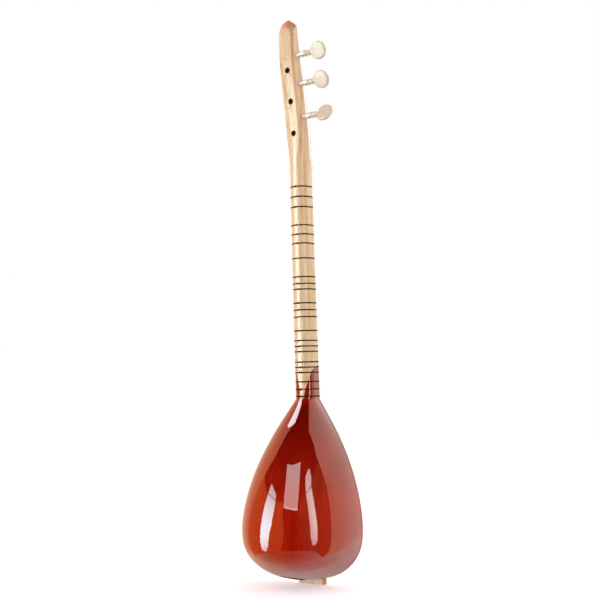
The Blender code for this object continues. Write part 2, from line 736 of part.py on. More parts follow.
def make_peg(index, material):
    """A peg: round shaft, collar, ring and flat round knob. Local Z runs from the head to the knob."""
    start = -HEAD_HALF_WIDTH + PEG_END_INSET
    collar_end = PEG_COLLAR_AT + PEG_COLLAR_LENGTH
    ring_end = PEG_RING_AT + PEG_COLLAR_LENGTH
    stem_end = PEG_KNOB_AT - PEG_KNOB_RADIUS + PEG_KNOB_THICKNESS / 2
    profile = [
        (0.0, start), (PEG_SHAFT_RADIUS - PEG_CHAMFER, start), (PEG_SHAFT_RADIUS, start + PEG_CHAMFER),
        (PEG_SHAFT_RADIUS, PEG_COLLAR_AT), (PEG_COLLAR_RADIUS, PEG_COLLAR_AT + PEG_CHAMFER),
        (PEG_COLLAR_RADIUS, collar_end - PEG_CHAMFER), (PEG_NECK_RADIUS, collar_end),
        (PEG_NECK_RADIUS, PEG_RING_AT), (PEG_RING_RADIUS, PEG_RING_AT + PEG_CHAMFER),
        (PEG_RING_RADIUS, ring_end), (PEG_STEM_RADIUS, ring_end + 2 * PEG_CHAMFER),
        (PEG_STEM_RADIUS, stem_end), (0.0, stem_end),
    ]
    y, z = peg_axis(PEG_HEIGHTS[index])
    peg = new_object(f"peg_{index + 1}", turned(profile, ROUND_SIDES), material)
    half = PEG_KNOB_THICKNESS / 2
    rim = PEG_KNOB_RADIUS - PEG_KNOB_RIM
    disc_profile = [(0.0, -half), (rim, -half)]
    for step in range(1, RIM_STEPS):
        angle = -math.pi / 2 + math.pi * step / RIM_STEPS
        disc_profile.append((rim + PEG_KNOB_RIM * math.cos(angle), half * math.sin(angle)))
    disc_profile += [(rim, half), (0.0, half)]
    knob = new_object("knob", turned(disc_profile, KNOB_SIDES))
    knob.data.transform(Matrix.Translation((0, 0, PEG_KNOB_AT)) @ Matrix.Rotation(math.pi / 2, 4, "X"))
    combine(peg, knob, "UNION")
    peg.data.transform(Matrix.Rotation(PEG_TURNS[index], 4, "Z"))
    peg.rotation_euler = (0.0, -math.pi / 2, 0.0)
    peg.location = (0.0, y, z)
    shade(peg)
    return peg


def make_winding(index, material):
    """The string's turns on the peg's shaft, one unbroken tube that starts at the front."""
    y, z = peg_axis(PEG_HEIGHTS[index])
    points = []
    for step in range(WINDING_TURNS * WINDING_POINTS + 1):
        angle = 2 * math.pi * step / WINDING_POINTS
        along = WINDING_START + WINDING_PITCH * step / WINDING_POINTS
        points.append((-along, -WINDING_RADIUS * math.cos(angle), WINDING_RADIUS * math.sin(angle)))
    return tube(f"string_{index + 1}_winding", points, STRING_RADIUS, material, location=(0.0, y, z))


def string_route(index):
    """A string's points from its slot in the tail block to just short of its winding."""
    slot_y = BLOCK_FRONT_Y + BLOCK_SLOT_DEPTH - GAP - STRING_RADIUS
    block_x = string_x(index, BLOCK_STRING_SPACING)
    block_top = TAIL_Z + BLOCK_SEAT
    bridge_y = FRONT_Y - STRING_ABOVE_BRIDGE_BOARD
    nut_x = string_x(index, NUT_STRING_SPACING)
    nut_y = front_line(NUT_Z) - STRING_ABOVE_NUT_FRONT
    axis_y, axis_z = peg_axis(PEG_HEIGHTS[index])
    peg_x = -WINDING_START
    peg_y = axis_y - WINDING_RADIUS
    points = [
        (block_x, slot_y, GAP), (block_x, slot_y, block_top / 2),
        (string_x(index, BRIDGE_STRING_SPACING), bridge_y, BRIDGE_Z), (nut_x, nut_y, NUT_Z),
    ]
    if axis_z > HEAD_STEP_Z + HEAD_STEP_LENGTH:
        share = HEAD_STEP_ABOVE_NUT / (axis_z - NUT_Z)
        step_y = front_line(HEAD_STEP_Z) + head_front_cut(HEAD_STEP_Z) - GAP - STRING_RADIUS
        points.append((nut_x + (peg_x - nut_x) * share, step_y, HEAD_STEP_Z))
    reach = WINDING_RADIUS + 2 * STRING_RADIUS + GAP
    short_by = math.sqrt(reach ** 2 - WINDING_RADIUS ** 2)
    last = Vector((peg_x, peg_y, axis_z))
    back = (Vector(points[-1]) - last).normalized()
    points.append(tuple(last + back * short_by))
    return points


def make_string(index, material):
    """The straight part of a string, held by the block, the bridge, the nut and the peg."""
    return tube(f"string_{index + 1}", string_route(index), STRING_RADIUS, material)


def winding_gap():
    """The least distance between the surfaces of two neighbouring turns of a winding."""
    return WINDING_PITCH - 2 * STRING_RADIUS


def outline_offset(points, distance):
    """Move a closed outline outwards by a distance, keeping its edges parallel."""
    count = len(points)
    moved = []
    for index in range(count):
        before = Vector(points[index]) - Vector(points[index - 1])
        after = Vector(points[(index + 1) % count]) - Vector(points[index])
        normals = [Vector((side.y, -side.x)).normalized() for side in (before, after)]
        middle = (normals[0] + normals[1]).normalized()
        moved.append(Vector(points[index]) + middle * (distance / middle.dot(normals[0])))
    return moved


def fret_outline(z):
    """The outline below a fret, at its lower and wider edge, with a stretch for the knot: points and swellings."""
    points = [Vector(point) for point in neck_section(z - (FRET_WIDTH + KNOT_WIDTH) / 2)]
    knot_edge = NECK_SECTION_STEPS // 2 + 1
    start, end = points[knot_edge], points[knot_edge + 1]
    outline = points[:knot_edge + 1]
    swellings = [0.0] * len(outline)
    for share, swelling in KNOT_STRETCH:
        outline.append(start.lerp(end, share))
        swellings.append(swelling)
    outline += points[knot_edge + 1:]
    swellings += [0.0] * (len(outline) - len(swellings))
    return outline, swellings


def make_fret(number, material):
    """One tied fret: a closed band round the neck with its knot at the back."""
    z = NUT_Z - SCALE_LENGTH * (1.0 - 1.0 / FRET_RATIOS[number])
    outline, swellings = fret_outline(z)
    inner = outline_offset(outline, FRET_GAP)
    outer = outline_offset(outline, FRET_GAP + FRET_HEIGHT)
    raised = outline_offset(outline, FRET_GAP + FRET_HEIGHT + KNOT_HEIGHT)
    rings = [[], [], [], []]
    for inside, outside, high, swelling in zip(inner, outer, raised, swellings):
        top = outside.lerp(high, swelling)
        half = (FRET_WIDTH + KNOT_WIDTH * swelling) / 2
        flat = (FRET_FLAT_WIDTH + KNOT_WIDTH * swelling) / 2
        for ring, point, along in zip(rings, (inside, top, top, inside), (-half, -flat, flat, half)):
            ring.append((point.x, front_line(z) + point.y, z + along))
    builder = bmesh.new()
    loops = [[builder.verts.new(point) for point in ring] for ring in rings]
    count = len(outline)
    for loop, following in zip(loops, loops[1:] + loops[:1]):
        for index in range(count):
            after = (index + 1) % count
            builder.faces.new((loop[index], loop[after], following[after], following[index]))
    fret = new_object(f"fret_{number + 1:02d}", builder, material)
    shade(fret)
    return fret


def build():
    """Make every piece of the instrument."""
    clear_scene()
    lacquer = principled("bowl_lacquer", (0.28, 0.02, 0.012), 0.12)
    spruce = principled("spruce", (0.72, 0.50, 0.27), 0.45)
    beech = principled("neck_wood", (0.72, 0.45, 0.22), 0.30)
    block_wood = principled("block_wood", (0.70, 0.47, 0.26), 0.40)
    bone = principled("nut_bone", (0.80, 0.76, 0.66), 0.35)
    bridge_wood = principled("bridge_wood", (0.42, 0.24, 0.12), 0.45)
    cream = principled("peg_plastic", (0.88, 0.80, 0.68), 0.22)
    steel = principled("string_steel", (0.75, 0.75, 0.78), 0.25, 1.0)
    nylon = principled("fret_nylon", (0.06, 0.035, 0.025), 0.40)
    make_bowl(lacquer)
    make_soundboard(spruce)
    make_brace(spruce)
    make_neck(beech)
    make_nut(bone)
    make_bridge(bridge_wood)
    make_tail_block(block_wood)
    for index in range(len(PEG_HEIGHTS)):
        make_peg(index, cream)
        make_string(index, steel)
        make_winding(index, steel)
    for number in range(len(FRET_RATIOS)):
        make_fret(number, nylon)
    print(f"least gap between the turns of a winding: {winding_gap() * 1000:.2f} mm")


build()
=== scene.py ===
"""Looks of the cura saz: finishes, fine strings and frets, studio and camera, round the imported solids."""
import math

import bpy
from mathutils import Matrix, Vector


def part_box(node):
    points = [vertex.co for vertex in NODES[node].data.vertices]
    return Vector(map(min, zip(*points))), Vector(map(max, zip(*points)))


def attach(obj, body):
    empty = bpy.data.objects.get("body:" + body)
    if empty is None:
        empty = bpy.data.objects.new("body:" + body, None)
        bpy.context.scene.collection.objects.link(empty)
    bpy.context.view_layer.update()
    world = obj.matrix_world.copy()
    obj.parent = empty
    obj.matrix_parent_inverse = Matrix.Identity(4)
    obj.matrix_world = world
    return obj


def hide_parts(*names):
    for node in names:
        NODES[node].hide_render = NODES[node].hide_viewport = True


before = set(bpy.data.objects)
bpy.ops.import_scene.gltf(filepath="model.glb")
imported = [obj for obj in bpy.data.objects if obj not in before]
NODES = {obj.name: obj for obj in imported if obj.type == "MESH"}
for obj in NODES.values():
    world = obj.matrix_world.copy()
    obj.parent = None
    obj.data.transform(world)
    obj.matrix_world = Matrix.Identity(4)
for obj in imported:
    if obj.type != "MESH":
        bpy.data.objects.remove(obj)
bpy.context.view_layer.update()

bpy.ops.object.select_all(action="DESELECT")


# Shader helpers

class Value:
    """A socket of a material; arithmetic on it adds Math nodes."""

    def __init__(self, finish, socket):
        self.finish = finish
        self.socket = socket

    def maths(self, operation, *terms):
        return self.finish.node("ShaderNodeMath", {"operation": operation}, terms)

    def __add__(self, other):
        return self.maths("ADD", self, other)

    __radd__ = __add__

    def __sub__(self, other):
        return self.maths("SUBTRACT", self, other)

    def __rsub__(self, other):
        return self.maths("SUBTRACT", other, self)

    def __mul__(self, other):
        return self.maths("MULTIPLY", self, other)

    __rmul__ = __mul__

    def __truediv__(self, other):
        return self.maths("DIVIDE", self, other)

    def __pow__(self, other):
        return self.maths("POWER", self, other)


class Finish:
    """A material in the making, with one method that adds any node."""

    def __init__(self, name):
        self.material = bpy.data.materials.new(name)
        self.material.use_nodes = True
        self.tree = self.material.node_tree
        self.shader = self.tree.nodes["Principled BSDF"]

    def feed(self, socket, value):
        if isinstance(value, Value):
            self.tree.links.new(value.socket, socket)
        elif socket.type == "RGBA":
            socket.default_value = (*value, 1.0)
        else:
            socket.default_value = value

    def node(self, kind, settings=None, sockets=(), output=0):
        made = self.tree.nodes.new(kind)
        for name, setting in (settings or {}).items():
            if name == "stops":
                elements = made.color_ramp.elements
                while len(elements) < len(setting):
                    elements.new(0.5)
                for element, (place, colour) in zip(elements, setting):
                    element.position = place
                    element.color = (*colour, 1.0)
            else:
                setattr(made, name, setting)
        pairs = sockets.items() if isinstance(sockets, dict) else enumerate(sockets)
        for key, value in pairs:
            self.feed(made.inputs[key], value)
        return Value(self, made.outputs[output])

    def surface(self, **sockets):
        for name, value in sockets.items():
            self.feed(self.shader.inputs[name.replace("_", " ")], value)
        return self.material

    def place(self, scale, turn=(0.0, 0.0, 0.0), shift=(0.0, 0.0, 0.0)):
        spot = self.node("ShaderNodeTexCoord", output="Object")
        sockets = {"Vector": spot, "Location": shift, "Rotation": turn, "Scale": scale}
        return self.node("ShaderNodeMapping", None, sockets)

    def cloud(self, scale, detail=3.0, rough=0.55, twist=0.0, turn=(0.0, 0.0, 0.0)):
        sockets = {"Vector": self.place(scale, turn), "Scale": 1.0, "Detail": detail, "Roughness": rough,
                   "Distortion": twist}
        return self.node("ShaderNodeTexNoise", None, sockets)

    def span(self, value, low, high, to_low=0.0, to_high=1.0):
        return self.node("ShaderNodeMapRange", {"interpolation_type": "SMOOTHSTEP"},
                         (value, low, high, to_low, to_high))

    def mix(self, share, first, second):
        return self.node("ShaderNodeMix", {"data_type": "RGBA"}, {0: share, 6: first, 7: second}, 2)

    def ramp(self, value, *stops):
        return self.node("ShaderNodeValToRGB", {"stops": stops}, (value,))

    def bump(self, height, depth):
        return self.node("ShaderNodeBump", None, {"Height": height, "Distance": depth, "Strength": 1.0})


def colour(red, green, blue):
    """A colour as a picture shows it, 0 to 255, turned into linear light."""
    return tuple((c / 255 / 12.92) if c < 10.3 else ((c / 255 + 0.055) / 1.055) ** 2.4 for c in (red, green, blue))


# Finishes

def red_lacquer():
    """Deep red mirror-gloss lacquer over carved wood whose grain faintly shows, darker towards the neck."""
    f = Finish("red_lacquer")
    streak = f.cloud((60.0, 60.0, 3.0), 3.0, 0.6, 0.4)
    pores = f.span(f.cloud((380.0, 380.0, 14.0), 2.0, 0.6), 0.58, 0.74)
    stain = f.span(f.cloud((55.0, 55.0, 16.0), 3.0, 0.6, 0.8), 0.50, 0.72)
    high = f.node("ShaderNodeSeparateXYZ", None, (f.place((1.0, 1.0, 1.0)),), 2)
    red = f.ramp(streak, (0.30, colour(164, 22, 9)), (0.52, colour(179, 30, 11)), (0.74, colour(192, 40, 15)))
    red = f.mix(f.span(high, 0.10, 0.228) * f.span(high, 0.230, 0.246, 0.95, 0.30), red, colour(112, 9, 4))
    red = f.mix(pores * 0.22 + stain * 0.30, red, colour(96, 8, 4))
    return f.surface(Base_Color=red, Roughness=f.span(streak, 0.3, 0.7, 0.50, 0.42), Coat_Weight=1.0,
                     Coat_Roughness=0.015, Coat_IOR=1.5, Specular_IOR_Level=0.0)


def light_wood(name, tone, glow, dark, gloss, coat=0.3, mirror=0.5):
    """Pale close-grained wood under clear varnish, with the grain running up the neck."""
    f = Finish(name)
    wood, streak, fleck = wood_grain(f, tone, glow, dark)
    return f.surface(Base_Color=wood, Roughness=f.span(streak, 0.3, 0.7, gloss + 0.08, gloss), Coat_Weight=coat,
                     Coat_Roughness=0.10, Specular_IOR_Level=mirror,
                     Normal=f.bump(streak - fleck * 0.4, 0.00006))


def wood_grain(f, tone, glow, dark):
    """The colour of the wood, its streaks and its flecks."""
    streak = f.cloud((150.0, 150.0, 5.0), 4.0, 0.6, 0.5)
    band = f.cloud((45.0, 45.0, 1.6), 2.0, 0.5, 0.3)
    fleck = f.span(f.cloud((900.0, 900.0, 70.0), 1.0, 0.5), 0.60, 0.70)
    wood = f.ramp(streak, (0.34, dark), (0.52, tone), (0.68, glow))
    wood = f.mix(f.span(band, 0.38, 0.66) * 0.45, wood, glow)
    return f.mix(fleck * 0.30, wood, dark), streak, fleck


def neck_wood(tone, glow, dark, brown):
    """Glossy on the neck and satin on the head, with painted highlights along the facet edges, painted shade on the
    right slope, and a tip browned partly as end grain and partly by painted shade.
    """
    f = Finish("neck_beech")
    wood, streak, fleck = wood_grain(f, tone, glow, dark)
    spot = f.place((1.0, 1.0, 1.0))
    across, high = (f.node("ShaderNodeSeparateXYZ", None, (spot,), output) for output in (0, 2))
    on_head = f.span(high, BLEND_Z, BLEND_Z + BLEND_LENGTH)
    facing = f.node("ShaderNodeSeparateXYZ", None, (f.node("ShaderNodeTexCoord", output="Normal"),), 1)
    on_back = f.span(facing, 0.1, 0.4)
    # Painted shade: the right slope of the head's back, turned away from the light, is darkened towards brown, more so
    # higher up.
    slope = f.span(across, -0.0078, -0.0072, 1.0, 0.0) * f.span(across, -0.0119, -0.0113)
    wood = f.mix(slope * on_back * on_head * f.span(high, NUT_Z + 0.05, HEAD_TOP_Z, 0.25, 0.75), wood, brown)
    middle = f.span(across, -0.0076, -0.0070) * f.span(across, 0.0044, 0.0050, 1.0, 0.0)
    wood = f.mix(middle * on_back * f.span(high, HEAD_TOP_Z - 0.115, HEAD_TOP_Z - 0.04, 0.0, 0.55), wood, brown)
    knotty = f.span(f.cloud((170.0, 170.0, 45.0), 3.0, 0.6, 1.0), 0.56, 0.68)
    wood = f.mix(knotty * on_head * 0.55, wood, brown)
    # The top 17 mm go darker brown: end grain on the cut top, and painted shade where the back falls away towards the
    # front.
    wood = f.mix(f.span(high, HEAD_TOP_Z - 0.017, HEAD_TOP_Z - 0.006) * 0.85, wood, brown)
    # Painted highlights: thin lighter lines along the two facet edges of the head's back, where rounded edges catch the
    # strip lights.
    for edge_x in (0.0047, -0.0073):
        off = f.node("ShaderNodeMath", {"operation": "ABSOLUTE"}, (across - edge_x,))
        line = f.span(off, 0.0002, 0.0008, 1.0, 0.0) * f.span(high, HEAD_TOP_Z - 0.02, HEAD_TOP_Z - 0.03)
        wood = f.mix(line * on_back * on_head * 0.75, wood, glow)
    rough = f.span(streak, 0.3, 0.7, 0.48, 0.40) + on_head * 0.15
    return f.surface(Base_Color=wood, Roughness=rough, Coat_Weight=0.35 - on_head * 0.15, Coat_Roughness=0.10,
                     Normal=f.bump(streak - fleck * 0.4, 0.00006))


def block_wood_with_painted_end_shade(tone, glow, dark, brown):
    """The tail block's plain wood, darker brown on its two end faces: painted shade."""
    f = Finish("block_wood")
    wood, streak, fleck = wood_grain(f, tone, glow, dark)
    across = f.node("ShaderNodeSeparateXYZ", None, (f.place((1.0, 1.0, 1.0)),))
    off = f.node("ShaderNodeMath", {"operation": "ABSOLUTE"}, (across,))
    # Painted shade: the block's end faces, turned from the light, are mixed towards brown.
    wood = f.mix(f.span(off, BLOCK_HALF_LENGTH - 0.0004, BLOCK_HALF_LENGTH - 0.0001) * 0.75, wood, brown)
    return f.surface(Base_Color=wood, Roughness=f.span(streak, 0.3, 0.7, 0.58, 0.50), Coat_Weight=0.1,
                     Normal=f.bump(streak - fleck * 0.4, 0.00006))


def pearl_plastic():
    """Cream pearl plastic with faint milky swirls."""
    f = Finish("pearl_plastic")
    swirl = f.cloud((90.0, 90.0, 70.0), 2.0, 0.5, 1.4)
    cream = f.ramp(swirl, (0.30, colour(216, 196, 172)), (0.52, colour(224, 206, 183)),
                   (0.72, colour(231, 217, 197)))
    return f.surface(Base_Color=cream, Roughness=f.span(swirl, 0.3, 0.7, 0.44, 0.36), Coat_Weight=0.15,
                     Coat_Roughness=0.12, Normal=f.bump(swirl, 0.00003))


def wire_steel():
    """Bright drawn steel wire, a little duller in places."""
    f = Finish("wire_steel")
    wear = f.cloud((600.0, 600.0, 60.0), 3.0)
    grey = f.ramp(wear, (0.35, colour(184, 202, 212)), (0.65, colour(206, 224, 234)))
    return f.surface(Base_Color=grey, Metallic=1.0, Roughness=f.span(wear, 0.3, 0.7, 0.22, 0.32))


def fret_nylon():
    """Dark brown nylon, nearly dull."""
    f = Finish("fret_nylon")
    tint = f.cloud((500.0, 500.0, 900.0), 2.0)
    brown = f.ramp(tint, (0.35, colour(16, 8, 3)), (0.65, colour(40, 22, 8)))
    return f.surface(Base_Color=brown, Roughness=f.span(tint, 0.3, 0.7, 0.62, 0.74), Specular_IOR_Level=0.08,
                     Normal=f.bump(tint, 0.00004))


def bone():
    """Pale bone with fine long pores."""
    f = Finish("bone")
    pore = f.span(f.cloud((90.0, 900.0, 900.0), 2.0), 0.58, 0.70)
    cloudy = f.cloud((200.0, 200.0, 200.0), 2.0)
    pale = f.ramp(cloudy, (0.3, colour(226, 214, 188)), (0.7, colour(243, 236, 218)))
    pale = f.mix(pore * 0.35, pale, colour(188, 168, 132))
    return f.surface(Base_Color=pale, Roughness=f.span(cloudy, 0.3, 0.7, 0.30, 0.42), Normal=f.bump(pore, 0.00004))


# Sizes of the instrument, as its solids have them

GAP = 0.0003
FRONT_Y = -0.0015
BOARD_BACK_Y = FRONT_Y + 0.003
RIM_Y = BOARD_BACK_Y + GAP
TAIL_Z = 0.0061
BODY_LENGTH = 0.2371
BODY_END_Z = TAIL_Z + BODY_LENGTH
NUT_Z = 0.5559
SECTION_POWER = 2.06
ROOT_HALF_WIDTH, ROOT_DEPTH, ROOT_SIDE = 0.0143, 0.0236, 0.0092
NUT_HALF_WIDTH, NUT_DEPTH, NUT_SIDE = 0.0132, 0.0213, 0.0081
FRONT_SIDE, SIDE_GROWTH = 0.0005, 0.068
NECK_TILT = math.radians(2.02)
TONGUE_TIP_Z = BODY_END_Z - 0.002
TONGUE_TIP_X = -0.0034
TONGUE_SPREADS = (0.282, 0.281)
TONGUE_RISE = 0.45
CHEEK_TOP_Z = TONGUE_TIP_Z + (ROOT_HALF_WIDTH - TONGUE_TIP_X) / TONGUE_SPREADS[0] + ROOT_DEPTH * TONGUE_RISE
HEAD_TILT = math.radians(9.0)
HEAD_BEND = 0.0816
HEAD_HALF_WIDTH, HEAD_DEPTH = 0.0130, 0.0184
FACET_EDGES = ((0.0130, 0.0018), (0.0048, 0.0), (-0.0074, 0.0), (-0.0113, 0.0014))
BLEND_Z, BLEND_LENGTH = NUT_Z + 0.004, 0.044
RECESS_Z, RECESS_LENGTH, RECESS_DEPTH = NUT_Z + 0.007, 0.006, 0.0025
STEP_Z, STEP_LENGTH, STEP_DEPTH = NUT_Z + 0.0652, 0.0075, 0.0042
HEAD_TOP_Z = NUT_Z + 0.1998
FALL_Z, FALL_LENGTH, FALL_DEPTH, FALL_POWER = HEAD_TOP_Z - 0.060, 0.060, 0.0078, 1.3
TIP_FALLS = ((-0.0130, 0.0137), (-0.0114, 0.0110), (-0.0072, 0.0062), (0.0, 0.0), (0.0072, 0.0028),
             (0.0114, 0.0060), (0.0130, 0.0085))
TIP_BACK_SLOPE = 1.8
PEG_HEIGHTS = (0.1489, 0.1107, 0.0668)
PEG_DEPTH = 0.0092
PEG_TURNS = (math.radians(20.0), math.radians(24.0), math.radians(-20.0))
HOLE_HEIGHTS = (0.1305, 0.0888, 0.0461)
HOLE_RADIUS = 0.004
SOUND_HOLE_Y, SOUND_HOLE_RADIUS = FRONT_Y + 0.0459, 0.0175
BLOCK_HALF_LENGTH, BLOCK_BACK_Y, BLOCK_TOP_Z = 0.0203, 0.0037, TAIL_Z + 0.003
CUT_ROOM = 0.02


def swell(share, peak, peak_at, tail_power, flank_power, end):
    """A size that grows round from the tail to its peak, then falls along the flank to its end size."""
    if share < peak_at:
        return peak * (1 - (1 - share / peak_at) ** tail_power) ** (1 / tail_power)
    fall = (share - peak_at) / (1 - peak_at)
    return peak - (peak - end) * fall ** flank_power - 0.025 * fall ** 8 * (1 - fall)


def body_share(z):
    return min(max((z - TAIL_Z) / BODY_LENGTH, 0.0), 1.0)


def body_half_width(z):
    return swell(body_share(z), 0.0809, 0.273, 2.06, 1.914, ROOT_HALF_WIDTH)


def body_depth(z):
    return swell(body_share(z), 0.1085, 0.274, 2.19, 1.69, ROOT_DEPTH)


def body_side(z):
    """How far the bowl's sides run straight back from the front at a height."""
    share = min(max(1 - (BODY_END_Z - z) / SIDE_GROWTH, 0.0), 1.0)
    return FRONT_SIDE + (ROOT_SIDE - FRONT_SIDE) * share * share * (3 - 2 * share)


def eased(size, z):
    """A size of the bowl averaged over a short stretch at the widest place, so that the gloss has no break."""
    near = max(1 - abs(z - 0.0705) / 0.035, 0.0)
    reach = 0.011 * near * near * (3 - 2 * near)
    return 0.25 * size(z - reach) + 0.5 * size(z) + 0.25 * size(z + reach)


def front_line(z):
    """The Y of the front: the soundboard, then the tilted neck, then the bend of the head."""
    if z < BODY_END_Z:
        return FRONT_Y
    bent = min(max(z - NUT_Z, 0.0), HEAD_BEND)
    beyond = max(z - NUT_Z - HEAD_BEND, 0.0)
    turn = math.tan(HEAD_TILT) - math.tan(NECK_TILT)
    return FRONT_Y + (z - BODY_END_Z) * math.tan(NECK_TILT) + turn * (bent ** 2 / (2 * HEAD_BEND) + beyond)


def section_size(z):
    """Half width, depth and straight side of the bowl or the neck at a height."""
    if z < BODY_END_Z:
        return eased(body_half_width, z), eased(body_depth, z), body_side(z)
    share = (z - BODY_END_Z) / (NUT_Z - BODY_END_Z)
    return (ROOT_HALF_WIDTH + (NUT_HALF_WIDTH - ROOT_HALF_WIDTH) * share,
            ROOT_DEPTH + (NUT_DEPTH - ROOT_DEPTH) * share, ROOT_SIDE + (NUT_SIDE - ROOT_SIDE) * share)


def round_spot(z, share):
    """(x, y) of the half round behind the straight sides, y from the front, from 0 at +X to 1 at -X."""
    width, depth, side = section_size(z)
    across, behind = math.cos(math.pi * share), max(math.sin(math.pi * share), 0.0)
    return (width * math.copysign(abs(across) ** (2 / SECTION_POWER), across),
            side + (depth - side) * behind ** (2 / SECTION_POWER))


def peg_axis(index):
    z = NUT_Z + PEG_HEIGHTS[index]
    return front_line(z) + PEG_DEPTH, z


# Making by hand

def choose(*pieces):
    """Let the next operator act on these pieces only."""
    bpy.ops.object.select_all(action="DESELECT")
    for piece in pieces:
        piece.select_set(True)
        bpy.context.view_layer.objects.active = piece


def named(name):
    piece = bpy.context.view_layer.objects.active
    piece.name = piece.data.name = name
    return piece


def carry_ring(stations):
    """In edit mode, extrude the chosen ring from station to station of (half width, depth, y, z)."""
    for (width, depth, y, z), (next_width, next_depth, next_y, next_z) in zip(stations, stations[1:]):
        bpy.ops.mesh.extrude_region_move(TRANSFORM_OT_translate={"value": (0.0, next_y - y, next_z - z)})
        bpy.ops.transform.resize(value=(next_width / width, next_depth / depth, 1.0),
                                 center_override=(0.0, next_y, next_z))


def drawn(name, sides, stations, power=2.0):
    """A solid drawn from one ring through its stations and closed flat at both ends."""
    bpy.ops.object.select_all(action="DESELECT")
    width, depth, y, z = stations[0]
    bpy.ops.mesh.primitive_circle_add(vertices=sides, radius=1.0, fill_type="NGON", location=(0.0, 0.0, 0.0))
    piece = named(name)
    for point in piece.data.vertices:
        across, behind = point.co.x, point.co.y
        point.co.x = width * math.copysign(abs(across) ** (2 / power), across)
        point.co.y = y + depth * math.copysign(abs(behind) ** (2 / power), behind)
        point.co.z = z
    bpy.ops.object.mode_set(mode="EDIT")
    bpy.ops.mesh.select_all(action="SELECT")
    carry_ring(stations)
    bpy.ops.mesh.select_all(action="SELECT")
    bpy.ops.mesh.normals_make_consistent(inside=False)
    bpy.ops.object.mode_set(mode="OBJECT")
    return piece


def prism(name, outline, along, low, high):
    """A flat outline given thickness along X (points of y, z) or along Y (points of x, z)."""
    bpy.ops.object.select_all(action="DESELECT")
    bpy.ops.mesh.primitive_circle_add(vertices=len(outline), radius=1.0, fill_type="NGON")
    piece = named(name)
    for point, (first, second) in zip(piece.data.vertices, outline):
        point.co = (low, first, second) if along == "X" else (first, low, second)
    reach = (high - low, 0.0, 0.0) if along == "X" else (0.0, high - low, 0.0)
    bpy.ops.object.mode_set(mode="EDIT")
    bpy.ops.mesh.select_all(action="SELECT")
    bpy.ops.mesh.extrude_region_move(TRANSFORM_OT_translate={"value": reach})
    bpy.ops.mesh.select_all(action="SELECT")
    bpy.ops.mesh.normals_make_consistent(inside=False)
    bpy.ops.object.mode_set(mode="OBJECT")
    return piece


def pin(radius, length, centre, turn, sides=48):
    """A plain round cutter."""
    bpy.ops.object.select_all(action="DESELECT")
    bpy.ops.mesh.primitive_cylinder_add(vertices=sides, radius=radius, depth=length, location=centre, rotation=turn)
    return named("pin")


def block(low, high):
    """A plain square cutter."""
    bpy.ops.object.select_all(action="DESELECT")
    centre = [(a + b) / 2 for a, b in zip(low, high)]
    bpy.ops.mesh.primitive_cube_add(size=1.0, location=centre, scale=[b - a for a, b in zip(low, high)])
    return named("block")


def combine(piece, other, operation="DIFFERENCE"):
    """Cut, join or intersect a piece with another one, which is used up."""
    modifier = piece.modifiers.new("combine", "BOOLEAN")
    modifier.operation = operation
    modifier.solver = "EXACT"
    modifier.object = other
    choose(piece)
    bpy.ops.object.modifier_apply(modifier="combine")
    bpy.data.objects.remove(other, do_unlink=True)


def settle(piece, body, finishes, nodes, angle=35.0, inside=None):
    """Finish a piece: place into its mesh, smooth faces, finishes, and what it rides on and stands for."""
    choose(piece)
    bpy.ops.object.transform_apply(location=True, rotation=True, scale=True)
    bpy.ops.object.shade_smooth_by_angle(angle=math.radians(angle))
    piece.data.materials.clear()
    for finish in finishes:
        piece.data.materials.append(finish)
    for face in piece.data.polygons:
        face.material_index = inside(face) if inside else 0
    piece.select_set(False)
    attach(piece, body)
    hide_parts(*nodes)


# Bowl

def carved_bowl(lacquer, raw_wood, sound_hole_painted_shade):
    """The carved bowl: round outside, hollow, with its rim, heel, cheeks, block room and sound hole."""
    widest = TAIL_Z + BODY_LENGTH * 0.272
    heights = [TAIL_Z + (widest - TAIL_Z) * (1 - math.cos(math.pi / 2 * step / 40)) for step in range(1, 41)]
    heights += [widest + (BODY_END_Z - widest) * step / 60 for step in range(1, 61)]
    heights += [BODY_END_Z + (CHEEK_TOP_Z - BODY_END_Z) * step / 8 for step in range(1, 9)]
    rings = []
    for z in heights:
        half, front = section_size(z)[0], front_line(z)
        arc = [(x, front + y, z) for x, y in (round_spot(z, step / 144) for step in range(145))]
        rings.append([(half, front - 0.004, z), *arc, (-half, front - 0.004, z)])
    bowl = skin("bowl_shell", rings)
    over = BODY_END_Z + GAP
    front = [(RIM_Y, -CUT_ROOM), (RIM_Y, over), (front_line(over), over), (front_line(0.4), 0.4), (-0.2, 0.4),
             (-0.2, -CUT_ROOM)]
    combine(bowl, prism("front_room", front, "X", -0.12, 0.12))
    combine(bowl, bowl_hollow())
    combine(bowl, tongue_wedge("tongue_room", GAP))
    edge = BLOCK_HALF_LENGTH + GAP
    combine(bowl, block((-edge, -0.03, -0.02), (edge, BLOCK_BACK_Y + GAP, BLOCK_TOP_Z + GAP)))
    hole = pin(SOUND_HOLE_RADIUS, 0.047, (0.0, SOUND_HOLE_Y, 0.0096), (0.0, 0.0, 0.0), 96)
    combine(bowl, hole)

    def within(face):
        spot = face.center
        if spot.z > BODY_END_Z - 0.042:
            return 0
        z = max(spot.z, TAIL_Z + 0.0002)
        side = body_side(z)
        across = abs(spot.x) / body_half_width(z)
        behind = max(spot.y - FRONT_Y - side, 0.0) / (body_depth(z) - side)
        if across ** SECTION_POWER + behind ** SECTION_POWER > 0.965:
            return 0
        # The sound hole's wall takes a near-black finish: painted shade inside the hole.
        in_hole = abs(math.hypot(spot.x, spot.y - SOUND_HOLE_Y) - SOUND_HOLE_RADIUS) < 0.0003
        return 2 if in_hole and abs(face.normal.z) < 0.1 else 1

    settle(bowl, "instrument", (lacquer, raw_wood, sound_hole_painted_shade), ("bowl",), 35.0, within)


